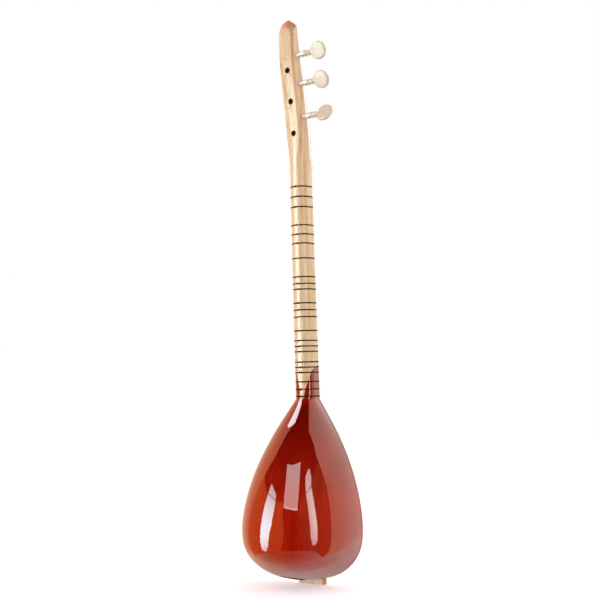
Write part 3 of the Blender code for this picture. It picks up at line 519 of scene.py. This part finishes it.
def bowl_hollow():
    """The hollow of the bowl, open at the front."""
    low, high = TAIL_Z + 0.007, BODY_END_Z - 0.042
    stations = []
    for step in range(1, 40):
        z = low + (high - low) * (1 - math.cos(math.pi * step / 40)) / 2
        offset = abs(2 * (z - low) / (high - low) - 1)
        roundness = max(1 - offset ** 8, 0.0) ** (1 / 8)
        stations.append(((body_half_width(z) - 0.0045) * roundness, (body_depth(z) - 0.0045) * roundness,
                         FRONT_Y, z))
    return drawn("bowl_hollow", 96, stations, SECTION_POWER)


def tongue_wedge(name, clearance):
    """The wedge of the neck's joint, a V that opens upwards, with a clearance on its edges."""
    spread, other_spread = TONGUE_SPREADS
    room, other_room = (clearance * math.hypot(1.0, slope, slope * TONGUE_RISE) for slope in TONGUE_SPREADS)
    drop = (room + other_room) / (spread + other_spread)
    tip_x, tip_z = TONGUE_TIP_X + room - spread * drop, TONGUE_TIP_Z - drop
    wide = 3 * ROOT_HALF_WIDTH
    outline = [(tip_x, tip_z), (wide, tip_z + (wide - tip_x) / spread), (wide, 1.2), (-wide, 1.2),
               (-wide, tip_z + (wide + tip_x) / other_spread)]
    wedge = prism(name, outline, "Y", -0.03, 0.16)
    for point in wedge.data.vertices:
        point.co.z += (FRONT_Y + ROOT_DEPTH - point.co.y) * TONGUE_RISE
    return wedge


# Soundboard

def soundboard_plate(spruce, lacquer):
    """The flat front, its edge lacquered with the bowl."""
    widest = TAIL_Z + BODY_LENGTH * 0.272
    heights = [TAIL_Z + (widest - TAIL_Z) * (1 - math.cos(math.pi / 2 * step / 40)) for step in range(1, 41)]
    heights += [widest + (BODY_END_Z - widest) * step / 60 for step in range(1, 61)]
    right = [(eased(body_half_width, z), z) for z in heights]
    outline = [(0.0, TAIL_Z), *right, *[(-x, z) for x, z in reversed(right)]]
    board = prism("soundboard_plate", outline, "Y", FRONT_Y, BOARD_BACK_Y)
    edge = BLOCK_HALF_LENGTH + GAP
    combine(board, block((-edge, -0.03, -0.02), (edge, 0.03, BLOCK_TOP_Z + GAP)))
    bevel = board.modifiers.new("edge", "BEVEL")
    bevel.width = 0.0004
    bevel.segments = 2
    bevel.limit_method = "ANGLE"
    bevel.angle_limit = math.radians(60.0)
    choose(board)
    bpy.ops.object.modifier_apply(modifier="edge")
    settle(board, "instrument", (spruce, lacquer), ("soundboard",), 35.0,
           lambda face: int(abs(face.normal.y) < 0.95))


# Neck and head

NECK_STEPS = [0.06, 0.5, 0.94, 1.0, 1.12, 1.25, 1.5, 1.75, 2.0, 2.5, 3.0, 3.5]
NECK_STEPS += [18 - step for step in NECK_STEPS]
HEAD_CORNERS = (0, 4, 7, 11, 14, 18)
for corner in HEAD_CORNERS[1:-1]:
    NECK_STEPS += [corner + shift for shift in (-0.2, -0.1, 0, 0.1, 0.2)]
NECK_STEPS += [4.6, 5.0, 5.5, 6.0, 6.4, 7.6, 8.0, 8.5, 9.0, 9.5, 10.0, 10.4, 11.6, 12.0, 12.5, 13.0, 13.4]
NECK_STEPS = sorted(NECK_STEPS)


def neck_spot(z, step):
    """(x, y) of the neck's section, y from the front, at a step from 0 at the +X front edge to 18 at the -X one."""
    if 1 <= step <= 17:
        return round_spot(z, (step - 1) / 16)
    width, _, side = section_size(z)
    return (width, side * step) if step < 1 else (-width, side * (18 - step))


def head_spot(z, step):
    """(x, y) of the head's faceted section at the same steps."""
    fall = max((z - FALL_Z) / FALL_LENGTH, 0.0)
    depth = HEAD_DEPTH - FALL_DEPTH * fall ** FALL_POWER
    corners = [(HEAD_HALF_WIDTH, 0.0), *[(x, depth - drop) for x, drop in FACET_EDGES], (-HEAD_HALF_WIDTH, 0.0)]
    for index in range(5):
        if step <= HEAD_CORNERS[index + 1]:
            share = (step - HEAD_CORNERS[index]) / (HEAD_CORNERS[index + 1] - HEAD_CORNERS[index])
            return tuple(a + (b - a) * share for a, b in zip(corners[index], corners[index + 1]))


def eased_head_spot(z, step):
    """The same with its four edges a little rounded."""
    for corner in HEAD_CORNERS[1:-1]:
        if abs(step - corner) < 0.2:
            share = (step - corner + 0.2) / 0.4
            before, at, after = (head_spot(z, corner + shift) for shift in (-0.2, 0.0, 0.2))
            return tuple((1 - share) ** 2 * a + 2 * share * (1 - share) * b + share ** 2 * c
                         for a, b, c in zip(before, at, after))
    return head_spot(z, step)


def front_cut(z):
    """How far the head's front lies behind the front line."""
    recess = min(max((z - RECESS_Z) / RECESS_LENGTH, 0.0), 1.0)
    step = min(max((z - STEP_Z) / STEP_LENGTH, 0.0), 1.0)
    return RECESS_DEPTH * recess + (STEP_DEPTH - RECESS_DEPTH) * step


def neck_section(z):
    """The closed section of the neck or head, with slightly rounded front edges."""
    share = min(max((z - BLEND_Z) / BLEND_LENGTH, 0.0), 1.0)
    share = share * share * (3 - 2 * share)
    spots = []
    for step in NECK_STEPS:
        spot = neck_spot(min(z, BLEND_Z), step)
        if share > 0:
            spot = tuple(a + (b - a) * share for a, b in zip(spot, eased_head_spot(z, step)))
        spots.append(spot)
    cut = front_cut(z)
    points = []
    for step, (x, y) in zip(NECK_STEPS, spots):
        top = spots[NECK_STEPS.index(4 if step < 9 else 14)][1]
        points.append((x, cut + y * (top - cut) / top if y < top else y))
    edge = 0.0005
    for end, sign in ((points[0], 1), (points[-1], -1)):
        corner = (end[0], cut)
        start = (end[0] - sign * edge, cut)
        middle = tuple(0.25 * a + 0.5 * b + 0.25 * c for a, b, c in zip(start, corner, end))
        if sign > 0:
            points = [start, middle, *points]
        else:
            points = [*points, middle, start]
    return points


def neck_ring(z):
    return [(x, front_line(z) + y, z) for x, y in neck_section(z)]


def skin(name, rings):
    """A closed skin over rings of equal count, flat at both ends; for forms that change section on the way."""
    count = len(rings[0])
    faces = [tuple(range(count)), tuple(range(count * (len(rings) - 1), count * len(rings)))]
    for low in range(0, count * (len(rings) - 1), count):
        for step in range(count):
            after = (step + 1) % count
            faces.append((low + step, low + after, low + after + count, low + step + count))
    mesh = bpy.data.meshes.new(name)
    mesh.from_pydata([point for ring in rings for point in ring], [], faces)
    piece = bpy.data.objects.new(name, mesh)
    bpy.context.scene.collection.objects.link(piece)
    choose(piece)
    bpy.ops.object.mode_set(mode="EDIT")
    bpy.ops.mesh.select_all(action="SELECT")
    bpy.ops.mesh.normals_make_consistent(inside=False)
    bpy.ops.object.mode_set(mode="OBJECT")
    return piece


def head_roof():
    """The room above the head's pointed top."""
    falls = list(TIP_FALLS)
    for end, near, edge_x in ((0, 1, -0.033), (-1, -2, 0.033)):
        (end_x, end_fall), (near_x, near_fall) = falls[end], falls[near]
        falls[end] = (edge_x, end_fall + (edge_x - end_x) * (end_fall - near_fall) / (end_x - near_x))
    front = front_line(HEAD_TOP_Z) + STEP_DEPTH
    rings = []
    for y in (front - CUT_ROOM, front + CUT_ROOM):
        ridge = HEAD_TOP_Z - (y - front) * TIP_BACK_SLOPE
        rings.append([*[(x, y, ridge - fall) for x, fall in falls], (0.033, y, 0.82), (-0.033, y, 0.82)])
    return skin("head_roof", rings)


def hole_middle(height):
    z = NUT_Z + height
    return front_line(z) + HEAD_DEPTH / 2, z


def neck_and_head(wood, peg_hole_painted_shade):
    """The neck and head, one piece of wood, from its tongue in the bowl to the pointed top."""
    heights = [TONGUE_TIP_Z - 0.002, BODY_END_Z]
    heights += [BODY_END_Z + (NUT_Z - BODY_END_Z) * step / 16 for step in range(1, 17)]
    heights += [NUT_Z + HEAD_BEND * step / 48 for step in range(1, 49)]
    heights += [RECESS_Z, RECESS_Z + RECESS_LENGTH, STEP_Z, STEP_Z + STEP_LENGTH]
    heights += [NUT_Z + HEAD_BEND + (FALL_Z - NUT_Z - HEAD_BEND) * step / 8 for step in range(1, 9)]
    heights += [FALL_Z + FALL_LENGTH * step / 24 for step in range(1, 25)]
    neck = skin("neck_and_head", [neck_ring(z) for z in sorted(set(round(z, 7) for z in heights))])
    combine(neck, head_roof())
    combine(neck, tongue_wedge("tongue", 0.0), "INTERSECT")
    combine(neck, block((-0.1, -0.1, 0.0), (0.1, RIM_Y, BODY_END_Z + GAP)))
    for index in range(3):
        y, z = peg_axis(index)
        combine(neck, pin(0.0038, 0.06, (0.0, y, z), (0.0, math.pi / 2, 0.0), 40))
    for height in HOLE_HEIGHTS:
        y, z = hole_middle(height)
        combine(neck, pin(HOLE_RADIUS, 0.06, (0.0, y, z), (math.pi / 2 - HEAD_TILT, 0.0, 0.0), 40))

    # Faces of the back holes' walls take the second finish, a dark brown that is painted shade inside the holes.
    def part_of(face):
        for height in HOLE_HEIGHTS:
            y, z = hole_middle(height)
            up = (face.center.z - z) * math.cos(HEAD_TILT) + (face.center.y - y) * math.sin(HEAD_TILT)
            along = Vector((0.0, math.cos(HEAD_TILT), -math.sin(HEAD_TILT)))
            if math.hypot(face.center.x, up) < HOLE_RADIUS + 0.0001 and abs(face.normal.dot(along)) < 0.3:
                return 1
        return 0

    settle(neck, "instrument", (wood, peg_hole_painted_shade), ("neck",), 28.0, part_of)


# Pegs

def side_peg(index, pearl):
    """A turned peg: shaft, collar, ring and stem, with a flat round knob set edgeways on it."""
    profile = ((0.00325, -0.0125), (0.00365, -0.0121), (0.00365, 0.0264), (0.0038, 0.0266), (0.0043, 0.0267),
               (0.0046, 0.0270), (0.0046, 0.0278), (0.0043, 0.0281), (0.0034, 0.0282), (0.0032, 0.0300),
               (0.0034, 0.0322), (0.0041, 0.0323), (0.0044, 0.0326), (0.0044, 0.0335), (0.0041, 0.0338),
               (0.0026, 0.0346), (0.0026, 0.0378))
    peg = drawn(f"side_peg_{index + 1}", 40, [(radius, radius, 0.0, along) for radius, along in profile])
    half, rim, flat = 0.0024, 0.0024, 0.0122 - 0.0024
    stations = [(flat + rim * math.cos(angle), flat + rim * math.cos(angle), 0.0, half * math.sin(angle))
                for angle in (math.pi * (step / 10 - 0.5) for step in range(11))]
    knob = drawn("knob", 72, stations)
    choose(knob)
    knob.data.transform(Matrix.Translation((0.0, 0.0, 0.0475)) @ Matrix.Rotation(math.pi / 2, 4, "X"))
    combine(peg, knob, "UNION")
    y, z = peg_axis(index)
    turn = Matrix.Rotation(-math.pi / 2, 4, "Y") @ Matrix.Rotation(PEG_TURNS[index], 4, "Z")
    peg.data.transform(Matrix.Translation((0.0, y, z)) @ turn)
    settle(peg, f"peg_{index + 1}", (pearl,), (f"peg_{index + 1}",), 35.0)


# Strings, windings and frets

def thread(name, runs, radius, body, finish, nodes, closed=False):
    """Round threads along runs of points, made a mesh."""
    curve = bpy.data.curves.new(name, "CURVE")
    curve.dimensions = "3D"
    curve.bevel_depth = radius
    curve.bevel_resolution = 2
    curve.use_fill_caps = True
    for points, round_trip in runs:
        spline = curve.splines.new("POLY")
        spline.points.add(len(points) - 1)
        spline.use_cyclic_u = round_trip
        for spot, point in zip(spline.points, points):
            spot.co = (*point, 1.0)
    piece = bpy.data.objects.new(name, curve)
    bpy.context.scene.collection.objects.link(piece)
    choose(piece)
    bpy.ops.object.convert(target="MESH")
    piece = bpy.context.view_layer.objects.active
    settle(piece, body, (finish,), nodes, 60.0)
    return piece


def peg_windings(steel):
    """The turns of each string on its peg's shaft, close and even."""
    for index in (1, 2, 3):
        low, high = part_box(f"string_{index}_winding")
        centre = (low + high) / 2
        radius = 0.00025
        around = (high.z - low.z) / 2 - radius
        turns, steps = 9, 32
        length = high.x - low.x - 2 * radius
        points = []
        for step in range(turns * steps + 1):
            angle = 2 * math.pi * step / steps
            along = high.x - radius - length * step / (turns * steps)
            points.append((along, centre.y - around * math.cos(angle), centre.z + around * math.sin(angle)))
        thread(f"peg_winding_{index}", [(points, False)], radius, f"peg_{index}", steel,
               (f"string_{index}_winding",))


def outset(points, distance):
    """A closed outline moved outwards by a distance."""
    moved = []
    for index, point in enumerate(points):
        before = Vector(point) - Vector(points[index - 1])
        after = Vector(points[(index + 1) % len(points)]) - Vector(point)
        middle = (Vector((before.y, -before.x)).normalized() + Vector((after.y, -after.x)).normalized()).normalized()
        moved.append(Vector(point) + middle * distance)
    return moved


FRET_RATIOS = (18 / 17, 12 / 11, 9 / 8, 81 / 68, 27 / 22, 81 / 64, 4 / 3, 10 / 7, 22 / 15, 3 / 2, 27 / 17, 18 / 11,
               27 / 16, 9 / 5, 17 / 9, 35 / 18, 2 / 1, 36 / 17, 24 / 11, 9 / 4, 81 / 34, 5 / 2, 21 / 8)
STRAND_RADIUS = 0.00026
KNOT_STEP = 9.4


def tied_frets(nylon):
    """Frets of three close turns of nylon, square to the neck, with a small crossed knot at its back."""
    for number, ratio in enumerate(FRET_RATIOS, 1):
        z = NUT_Z - 0.5 * (1 - 1 / ratio)
        lean = math.tan(NECK_TILT)
        half_depth = section_size(z)[1] / 2
        band = outset(neck_section(z), 0.00005 + STRAND_RADIUS)
        runs = []
        for shift in (-2, 0, 2):
            along = shift * STRAND_RADIUS
            runs.append(([(p.x, front_line(z) + p.y, z + along + (half_depth - p.y) * lean) for p in band], True))
        middle = Vector(neck_spot(z, KNOT_STEP))
        side = (Vector(neck_spot(z, KNOT_STEP + 0.25)) - Vector(neck_spot(z, KNOT_STEP - 0.25))).normalized()
        out = Vector((side.y, -side.x))
        if out.dot(middle) < 0:
            out = -out
        knots = (((-1.3, -0.9, 0.62), (-0.6, -0.65, 1.0), (0.5, 0.55, 1.1), (1.2, 0.95, 0.66)),
                 ((-1.2, 0.9, 0.62), (-0.5, 0.6, 1.05), (0.6, -0.6, 1.2), (1.3, -0.95, 0.66)),
                 ((-0.1, -1.15, 0.55), (0.0, -0.6, 1.25), (0.0, 0.6, 1.25), (0.1, 1.15, 0.55)))
        for knot in knots:
            points = []
            for across, along, high in knot:
                spot = middle + side * across / 1000 + out * (high / 1000 - 0.0001)
                height = z + along / 1000 + (half_depth - spot.y) * lean
                points.append((spot.x, front_line(z) + spot.y, height))
            runs.append((points, False))
        thread(f"tied_fret_{number:02d}", runs, STRAND_RADIUS, f"fret_{number:02d}_tie", nylon,
               (f"fret_{number:02d}",))


def dress(finish, *names):
    """Give CAD solids their finish."""
    for name in names:
        for slot in NODES[name].material_slots:
            slot.material = finish


# Studio

def studio_world():
    """Plain grey light all round, and a white background where the camera or a gloss looks at it."""
    world = bpy.data.worlds.new("studio")
    bpy.context.scene.world = world
    world.use_nodes = True
    tree = world.node_tree
    tree.nodes.clear()
    path = tree.nodes.new("ShaderNodeLightPath")
    glossy = tree.nodes.new("ShaderNodeMath")
    glossy.operation = "MAXIMUM"
    tree.links.new(path.outputs["Is Camera Ray"], glossy.inputs[0])
    tree.links.new(path.outputs["Is Glossy Ray"], glossy.inputs[1])
    clear = tree.nodes.new("ShaderNodeMath")
    clear.operation = "MAXIMUM"
    tree.links.new(glossy.outputs[0], clear.inputs[0])
    tree.links.new(path.outputs["Is Transmission Ray"], clear.inputs[1])
    light = tree.nodes.new("ShaderNodeBackground")
    light.inputs["Color"].default_value = (0.97, 0.98, 1.0, 1.0)
    light.inputs["Strength"].default_value = 0.75
    white = tree.nodes.new("ShaderNodeBackground")
    white.inputs["Strength"].default_value = 1.0
    white.inputs["Color"].default_value = (1.0, 1.0, 1.0, 1.0)
    both = tree.nodes.new("ShaderNodeMixShader")
    tree.links.new(clear.outputs[0], both.inputs[0])
    tree.links.new(light.outputs[0], both.inputs[1])
    tree.links.new(white.outputs[0], both.inputs[2])
    out = tree.nodes.new("ShaderNodeOutputWorld")
    tree.links.new(both.outputs[0], out.inputs["Surface"])


def studio_floor():
    """A plain pale floor just below the tail block, which keeps the shadow and else looks white."""
    bpy.ops.mesh.primitive_plane_add(size=12.0, location=(0.0, 0.0, -0.0004))
    floor = bpy.context.view_layer.objects.active
    floor.name = "studio_floor"
    f = Finish("studio_floor")
    f.surface(Base_Color=(0.80, 0.80, 0.80), Roughness=0.9)
    glow = f.node("ShaderNodeEmission", None, {"Color": (1.0, 1.0, 1.0), "Strength": 0.75})
    seen = f.node("ShaderNodeLightPath", output="Is Camera Ray")
    share = seen * 0.62
    both = f.tree.nodes.new("ShaderNodeMixShader")
    add = f.tree.nodes.new("ShaderNodeAddShader")
    f.tree.links.new(share.socket, both.inputs[0])
    f.tree.links.new(f.shader.outputs[0], both.inputs[1])
    f.tree.links.new(f.shader.outputs[0], add.inputs[0])
    f.tree.links.new(glow.socket, add.inputs[1])
    f.tree.links.new(add.outputs[0], both.inputs[2])
    f.tree.links.new(both.outputs[0], f.tree.nodes["Material Output"].inputs["Surface"])
    floor.data.materials.append(f.material)
    floor.visible_glossy = False
    floor.select_set(False)


BOWL_MIDDLE = Vector((0.0, 0.04, 0.12))


def gloss_board(name, distance, rows):
    """A studio board that only glosses see. Rows of (azimuth, rise, glow, cover), in degrees from the bowl."""
    mesh = bpy.data.meshes.new(name)
    columns = len(rows[0])
    points = []
    for azimuth, rise, _, _ in (spot for row in rows for spot in row):
        turn, lift = math.radians(azimuth), math.radians(rise)
        way = Vector((math.sin(turn) * math.cos(lift), -math.cos(turn) * math.cos(lift), math.sin(lift)))
        points.append(BOWL_MIDDLE + way * distance)
    faces = [(low, low + 1, low + columns + 1, low + columns) for low in range(len(points) - columns)
             if low % columns < columns - 1]
    mesh.from_pydata(points, [], faces)
    glows = mesh.color_attributes.new("glow", "FLOAT_COLOR", "POINT")
    for spot, (_, _, glow, cover) in zip(glows.data, (spot for row in rows for spot in row)):
        spot.color = (*glow, cover)
    board = bpy.data.objects.new(name, mesh)
    bpy.context.scene.collection.objects.link(board)
    f = Finish(name)
    light = f.node("ShaderNodeAttribute", {"attribute_name": "glow"})
    cover = Value(f, light.socket.node.outputs["Alpha"])
    f.surface(Base_Color=(0.0, 0.0, 0.0), Roughness=1.0, Specular_IOR_Level=0.0, Emission_Color=light,
              Emission_Strength=1.0, Alpha=cover)
    mesh.materials.append(f.material)
    board.visible_camera = board.visible_diffuse = board.visible_shadow = False
    board.visible_transmission = board.visible_volume_scatter = False


def upright_board(name, distance, rows, soft=0.0):
    """A board from rows of (rise, azimuth from, azimuth to, glow), its two sides fading over some degrees.
    A slanted row has two rises, and a row that changes along itself has two glows."""
    spots = []
    steps = 1 if soft else max(2, round(max(end - start for _, start, end, _ in rows) / 8))
    for rise, start, end, glow in rows:
        rises = rise if isinstance(rise, tuple) else (rise, rise)
        glows = glow if isinstance(glow[0], tuple) else (glow, glow)
        row = []
        for step in range(steps + 1):
            share = step / steps
            row.append((start + soft + (end - start - 2 * soft) * share, rises[0] + (rises[1] - rises[0]) * share,
                        tuple(a + (b - a) * share for a, b in zip(*glows)), 1.0))
        if soft:
            row = [(start - soft, rises[0], glows[0], 0.0), *row, (end + soft, rises[1], glows[1], 0.0)]
        spots.append(row)
    gloss_board(name, distance, spots)


def reflected_studio():
    """What the lacquer mirrors on the camera's side: strips, a square box, warm walls, dark gaps and the floor."""
    near, mid, far = 10.0, 11.5, 13.0
    upright_board("left_strip", near, [
        (33, 141.2, 146, (6.7, 7.8, 7.9)), (31, 140.8, 163.5, (6.9, 8.4, 8.6)), (28.2, 140.6, 165.5, (8.0, 10.0, 10.4)),
        (27.5, 140.5, 165.7, (2.6, 2.4, 2.3)), (26.8, 140.4, 166, (8.6, 11.0, 11.6)),
        (21, 139.6, 166.4, (11.0, 15.0, 16.0)), (8, 139.6, 165.5, (12.9, 18.9, 20.0)),
        (-6.7, 138.2, 160.3, (12.9, 18.9, 20.0)), (-23.5, 134.8, 154.6, (11.0, 13.0, 13.6)),
        (-32, 132.2, 147, (10.0, 9.5, 9.8)), (-36.5, 135, 142.4, (9.0, 8.6, 8.8))], 0.9)
    upright_board("right_strip", near, [
        (43.8, 242.5, 245.5, (7.5, 8.2, 8.4)), (41, 235, 246.5, (7.5, 8.2, 8.4)), (38.5, 234.9, 248.2, (7.5, 8.2, 8.4)),
        ((31.6, 33.6), 236.2, 247, (7.8, 8.8, 9.0)), ((30.8, 32.8), 236.5, 247.3, (1.6, 1.3, 1.2)),
        ((30.0, 32.0), 236.8, 247.6, (8.2, 9.4, 9.6)), (22, 240, 251.7, ((8.0, 8.0, 8.0), (11.0, 11.6, 11.2))),
        (6, 244.5, 255.8, ((9.0, 8.0, 7.6), (12.0, 12.6, 12.0))), (-10, 246.2, 257.2, ((9.0, 7.5, 7.2), (10.5, 9.6, 9.2))),
        (-16, 248.2, 257.4, (8.8, 7.2, 7.0)), (-23.6, 250.7, 255.0, (8.0, 6.2, 6.0))], 0.9)
    upright_board("square_box", near, [
        ((49.1, 51.1), 173.7, 219.4, (6.4, 6.1, 6.1)), ((40.7, 37.6), 182.8, 220.9, (6.8, 5.9, 5.7)),
        ((25.6, 22.4), 188.8, 220.8, (7.6, 5.4, 4.9)), ((25.3, 22.1), 188.9, 220.8, (10.0, 8.6, 8.2)),
        ((24.1, 20.5), 189.4, 220.8, (10.0, 8.6, 8.2))])
    leaf = (14.0, 13.7, 14.0)
    gloss_board("top_leaf", near, [
        [(108, 53.2, leaf, 1.0), (116, 57, leaf, 1.0), (128, 61, leaf, 1.0), (139, 64.5, leaf, 1.0)],
        [(108, 46.8, leaf, 1.0), (116, 50.0, leaf, 1.0), (128, 56.0, leaf, 1.0), (139, 60.8, leaf, 1.0)]])
    warm, warm_low = (2.6, 0.62, 0.17), (2.4, 0.55, 0.16)
    upright_board("left_wall", mid, [
        (27.5, 110.5, 186, warm), (18, 103, 190, warm), (10, 98, 193.5, warm), (-5, 95, 195, warm),
        (-22, 90, 191, warm_low), (-30, 87, 187, warm_low), (-42, 95, 182, warm_low)])
    side, lit_side, rim, lit_rim = (2.1, 1.1, 0.6), (3.9, 1.2, 0.6), (0.9, 0.85, 0.66), (1.6, 0.9, 0.66)
    upright_board("left_side", mid, [
        (75, 40, 140, (lit_rim, lit_side)), (61, 40, 140, (lit_rim, lit_side)), (50, 40, 122, (lit_rim, lit_side)),
        (42, 40, 121, (lit_rim, lit_side)), (37.7, 40, 119, (lit_rim, lit_side)), (27.5, 40, 110.5, (lit_rim, lit_side)),
        (10, 40, 98, (rim, side)), (-5, 40, 95, (rim, side)), (-34, 40, 87, (rim, side))])
    right = (0.75, 0.24, 0.10)
    upright_board("right_wall", mid, [
        (42.5, 264, 268.5, right), (33, 243, 273.5, right), (26, 224, 276, right), (10, 227, 277.2, right),
        (-5, 229, 278, right), (-25, 233, 279, right), (-35, 235, 283, right), (-56, 240, 288, right)])
    high, middle = ((4.2, 1.8, 1.35), (4.6, 3.2, 2.8)), ((4.2, 2.1, 1.5), (4.4, 3.2, 2.8))
    low = ((2.0, 1.6, 1.05), (3.6, 3.6, 3.2))
    upright_board("right_backdrop", mid, [
        (86, 236, 345, high), (66.8, 252, 345, high), (61.6, 249, 345, high), (51.7, 264.7, 345, middle),
        (47, 266, 345, middle), (37.7, 271.4, 345, middle), (27.5, 275.8, 345, low), (18, 276.8, 345, low),
        (2.7, 277.5, 345, low), (-16.4, 278.7, 345, low), (-47, 286.7, 345, low), (-56, 288, 345, low)])
    behind_bowl = (1.3, 0.9, 0.8)
    upright_board("far_wall", mid + 0.5, [(88, 340, 402, behind_bowl), (30, 340, 402, behind_bowl),
                                          (-30, 340, 402, behind_bowl)])
    dusk, dim, plain, bright = (1.3, 0.5, 0.2), (1.35, 1.1, 0.9), (1.5, 1.8, 1.6), (2.3, 3.4, 3.0)
    shade, shade_low, nadir = (0.5, 0.5, 0.5), (1.5, 1.8, 1.7), (1.45, 1.2, 1.0)
    floor_edge = [(0, -24, shade, shade_low), (40, -22, (0.4, 0.4, 0.4), (1.4, 1.6, 1.5)),
                  (82.3, -21.9, (2.05, 1.65, 1.2), (2.0, 1.7, 1.3)), (87, -33, (2.0, 1.5, 1.05), (1.95, 1.65, 1.25)),
                  (115, -39, (1.8, 1.25, 0.85), (1.75, 1.15, 0.85)), (144.8, -41.9, (1.5, 0.75, 0.4), (1.45, 0.65, 0.35)),
                  (189.3, -39.4, dusk, dusk), (231, -38.8, (1.4, 0.75, 0.45), (1.4, 0.65, 0.4)),
                  (259.1, -39.4, (1.35, 1.2, 1.0), dim), (273, -48, (1.4, 1.6, 1.4), (1.4, 1.5, 1.3)),
                  (283.8, -54.5, (1.5, 1.9, 1.6), plain), (299.5, -50.6, (1.9, 2.6, 2.2), plain),
                  (305.5, -39.2, (2.1, 3.1, 2.8), plain), (309.6, -27.9, (2.1, 3.4, 3.0), plain),
                  (314.6, -13, bright, plain), (322.8, -16.7, bright, plain), (332.4, -22.2, (1.8, 2.8, 2.6), plain),
                  (350, -24, (0.8, 1.4, 1.4), plain), (361, -24, shade, shade_low)]
    gloss_board("mirrored_floor", near + 0.5, [
        [(azimuth, rise, glow, 1.0) for azimuth, rise, glow, _ in floor_edge],
        [(azimuth, -58, glow, 1.0) for azimuth, _, _, glow in floor_edge],
        [(azimuth, -75, tuple((a + b) / 2 for a, b in zip(glow, nadir)), 1.0) for azimuth, _, _, glow in floor_edge],
        [(azimuth, -90, nadir, 1.0) for azimuth, _, _, _ in floor_edge]])
    black = (0.0, 0.0, 0.0)
    upright_board("dark_surround", far, [
        (88, 40, 372, black), (60, 40, 372, black), (30, 40, 372, black), (0, 40, 372, black), (-40, 40, 372, black),
        (-80, 40, 372, black)])


def softbox(name, place, target, width, height, glow):
    """A rectangular studio lamp of one brightness."""
    lamp = bpy.data.lights.new(name, "AREA")
    lamp.shape = "RECTANGLE"
    lamp.size = width
    lamp.size_y = height
    lamp.energy = glow * math.pi * width * height
    holder = bpy.data.objects.new(name, lamp)
    bpy.context.scene.collection.objects.link(holder)
    holder.location = place
    holder.rotation_euler = (Vector(target) - Vector(place)).to_track_quat("-Z", "Z").to_euler()
    holder.visible_glossy = holder.visible_camera = False


def set_camera():
    """The photograph's viewpoint: off the back, a little below the middle, with a long lens."""
    azimuth, rise, roll = math.radians(217.02), math.radians(-5.64), math.radians(-0.65)
    back = Vector((math.sin(azimuth) * math.cos(rise), -math.cos(azimuth) * math.cos(rise), math.sin(rise)))
    right = (-back).cross(Vector((0.0, 0.0, 1.0))).normalized()
    up = right.cross(-back)
    level_right = right * math.cos(roll) + up * math.sin(roll)
    level_up = up * math.cos(roll) - right * math.sin(roll)
    lens = bpy.data.cameras.new("camera")
    lens.sensor_width = 36.0
    lens.lens = 66.36
    camera = bpy.data.objects.new("camera", lens)
    bpy.context.scene.collection.objects.link(camera)
    turn = Matrix((level_right, level_up, back)).transposed().to_4x4()
    camera.matrix_world = Matrix.Translation(Vector((0.01683, -0.0015, 0.37758)) + back * 1.5094) @ turn
    bpy.context.scene.camera = camera


set_camera()
studio_world()
studio_floor()
softbox("left_lamp", (1.4, 1.3, 0.7), (0.0, 0.0, 0.3), 0.5, 1.4, 1.1)
softbox("right_lamp", (-1.7, 0.5, 0.6), (0.0, 0.0, 0.3), 0.5, 1.4, 0.4)
reflected_studio()

lacquer = red_lacquer()
beech = neck_wood(colour(220, 182, 132), colour(238, 212, 170), colour(196, 148, 92), colour(178, 110, 46))
spruce = light_wood("board_spruce", colour(226, 184, 124), colour(238, 206, 152), colour(196, 148, 92), 0.34)
block_wood = block_wood_with_painted_end_shade(colour(234, 208, 152), colour(244, 220, 172), colour(206, 168, 112), colour(136, 92, 60))
bridge_wood = light_wood("bridge_wood", colour(140, 88, 52), colour(162, 108, 68), colour(96, 56, 32), 0.40)
raw_wood = light_wood("raw_wood", colour(150, 100, 62), colour(172, 122, 80), colour(118, 74, 44), 0.55)
# Painted shade: near-black for the sound hole's wall.
sound_hole_painted_shade = light_wood("sound_hole_painted_shade", colour(14, 8, 6), colour(20, 12, 8), colour(8, 5, 4), 0.80, 0.0, 0.05)
# Painted shade: dark brown for the walls of the head's back holes.
peg_hole_painted_shade = light_wood("peg_hole_painted_shade", colour(96, 56, 24), colour(122, 76, 36), colour(60, 32, 12), 0.80, 0.0, 0.05)
steel = wire_steel()
nylon = fret_nylon()
pearl = pearl_plastic()
carved_bowl(lacquer, raw_wood, sound_hole_painted_shade)
soundboard_plate(spruce, lacquer)
neck_and_head(beech, peg_hole_painted_shade)
for number in range(3):
    side_peg(number, pearl)
peg_windings(steel)
tied_frets(nylon)
dress(spruce, "soundboard_brace")
dress(block_wood, "tail_block")
dress(bridge_wood, "bridge")
dress(bone(), "nut")
dress(steel, "string_1", "string_2", "string_3")

view = bpy.context.scene.view_settings
view.view_transform = "Standard"
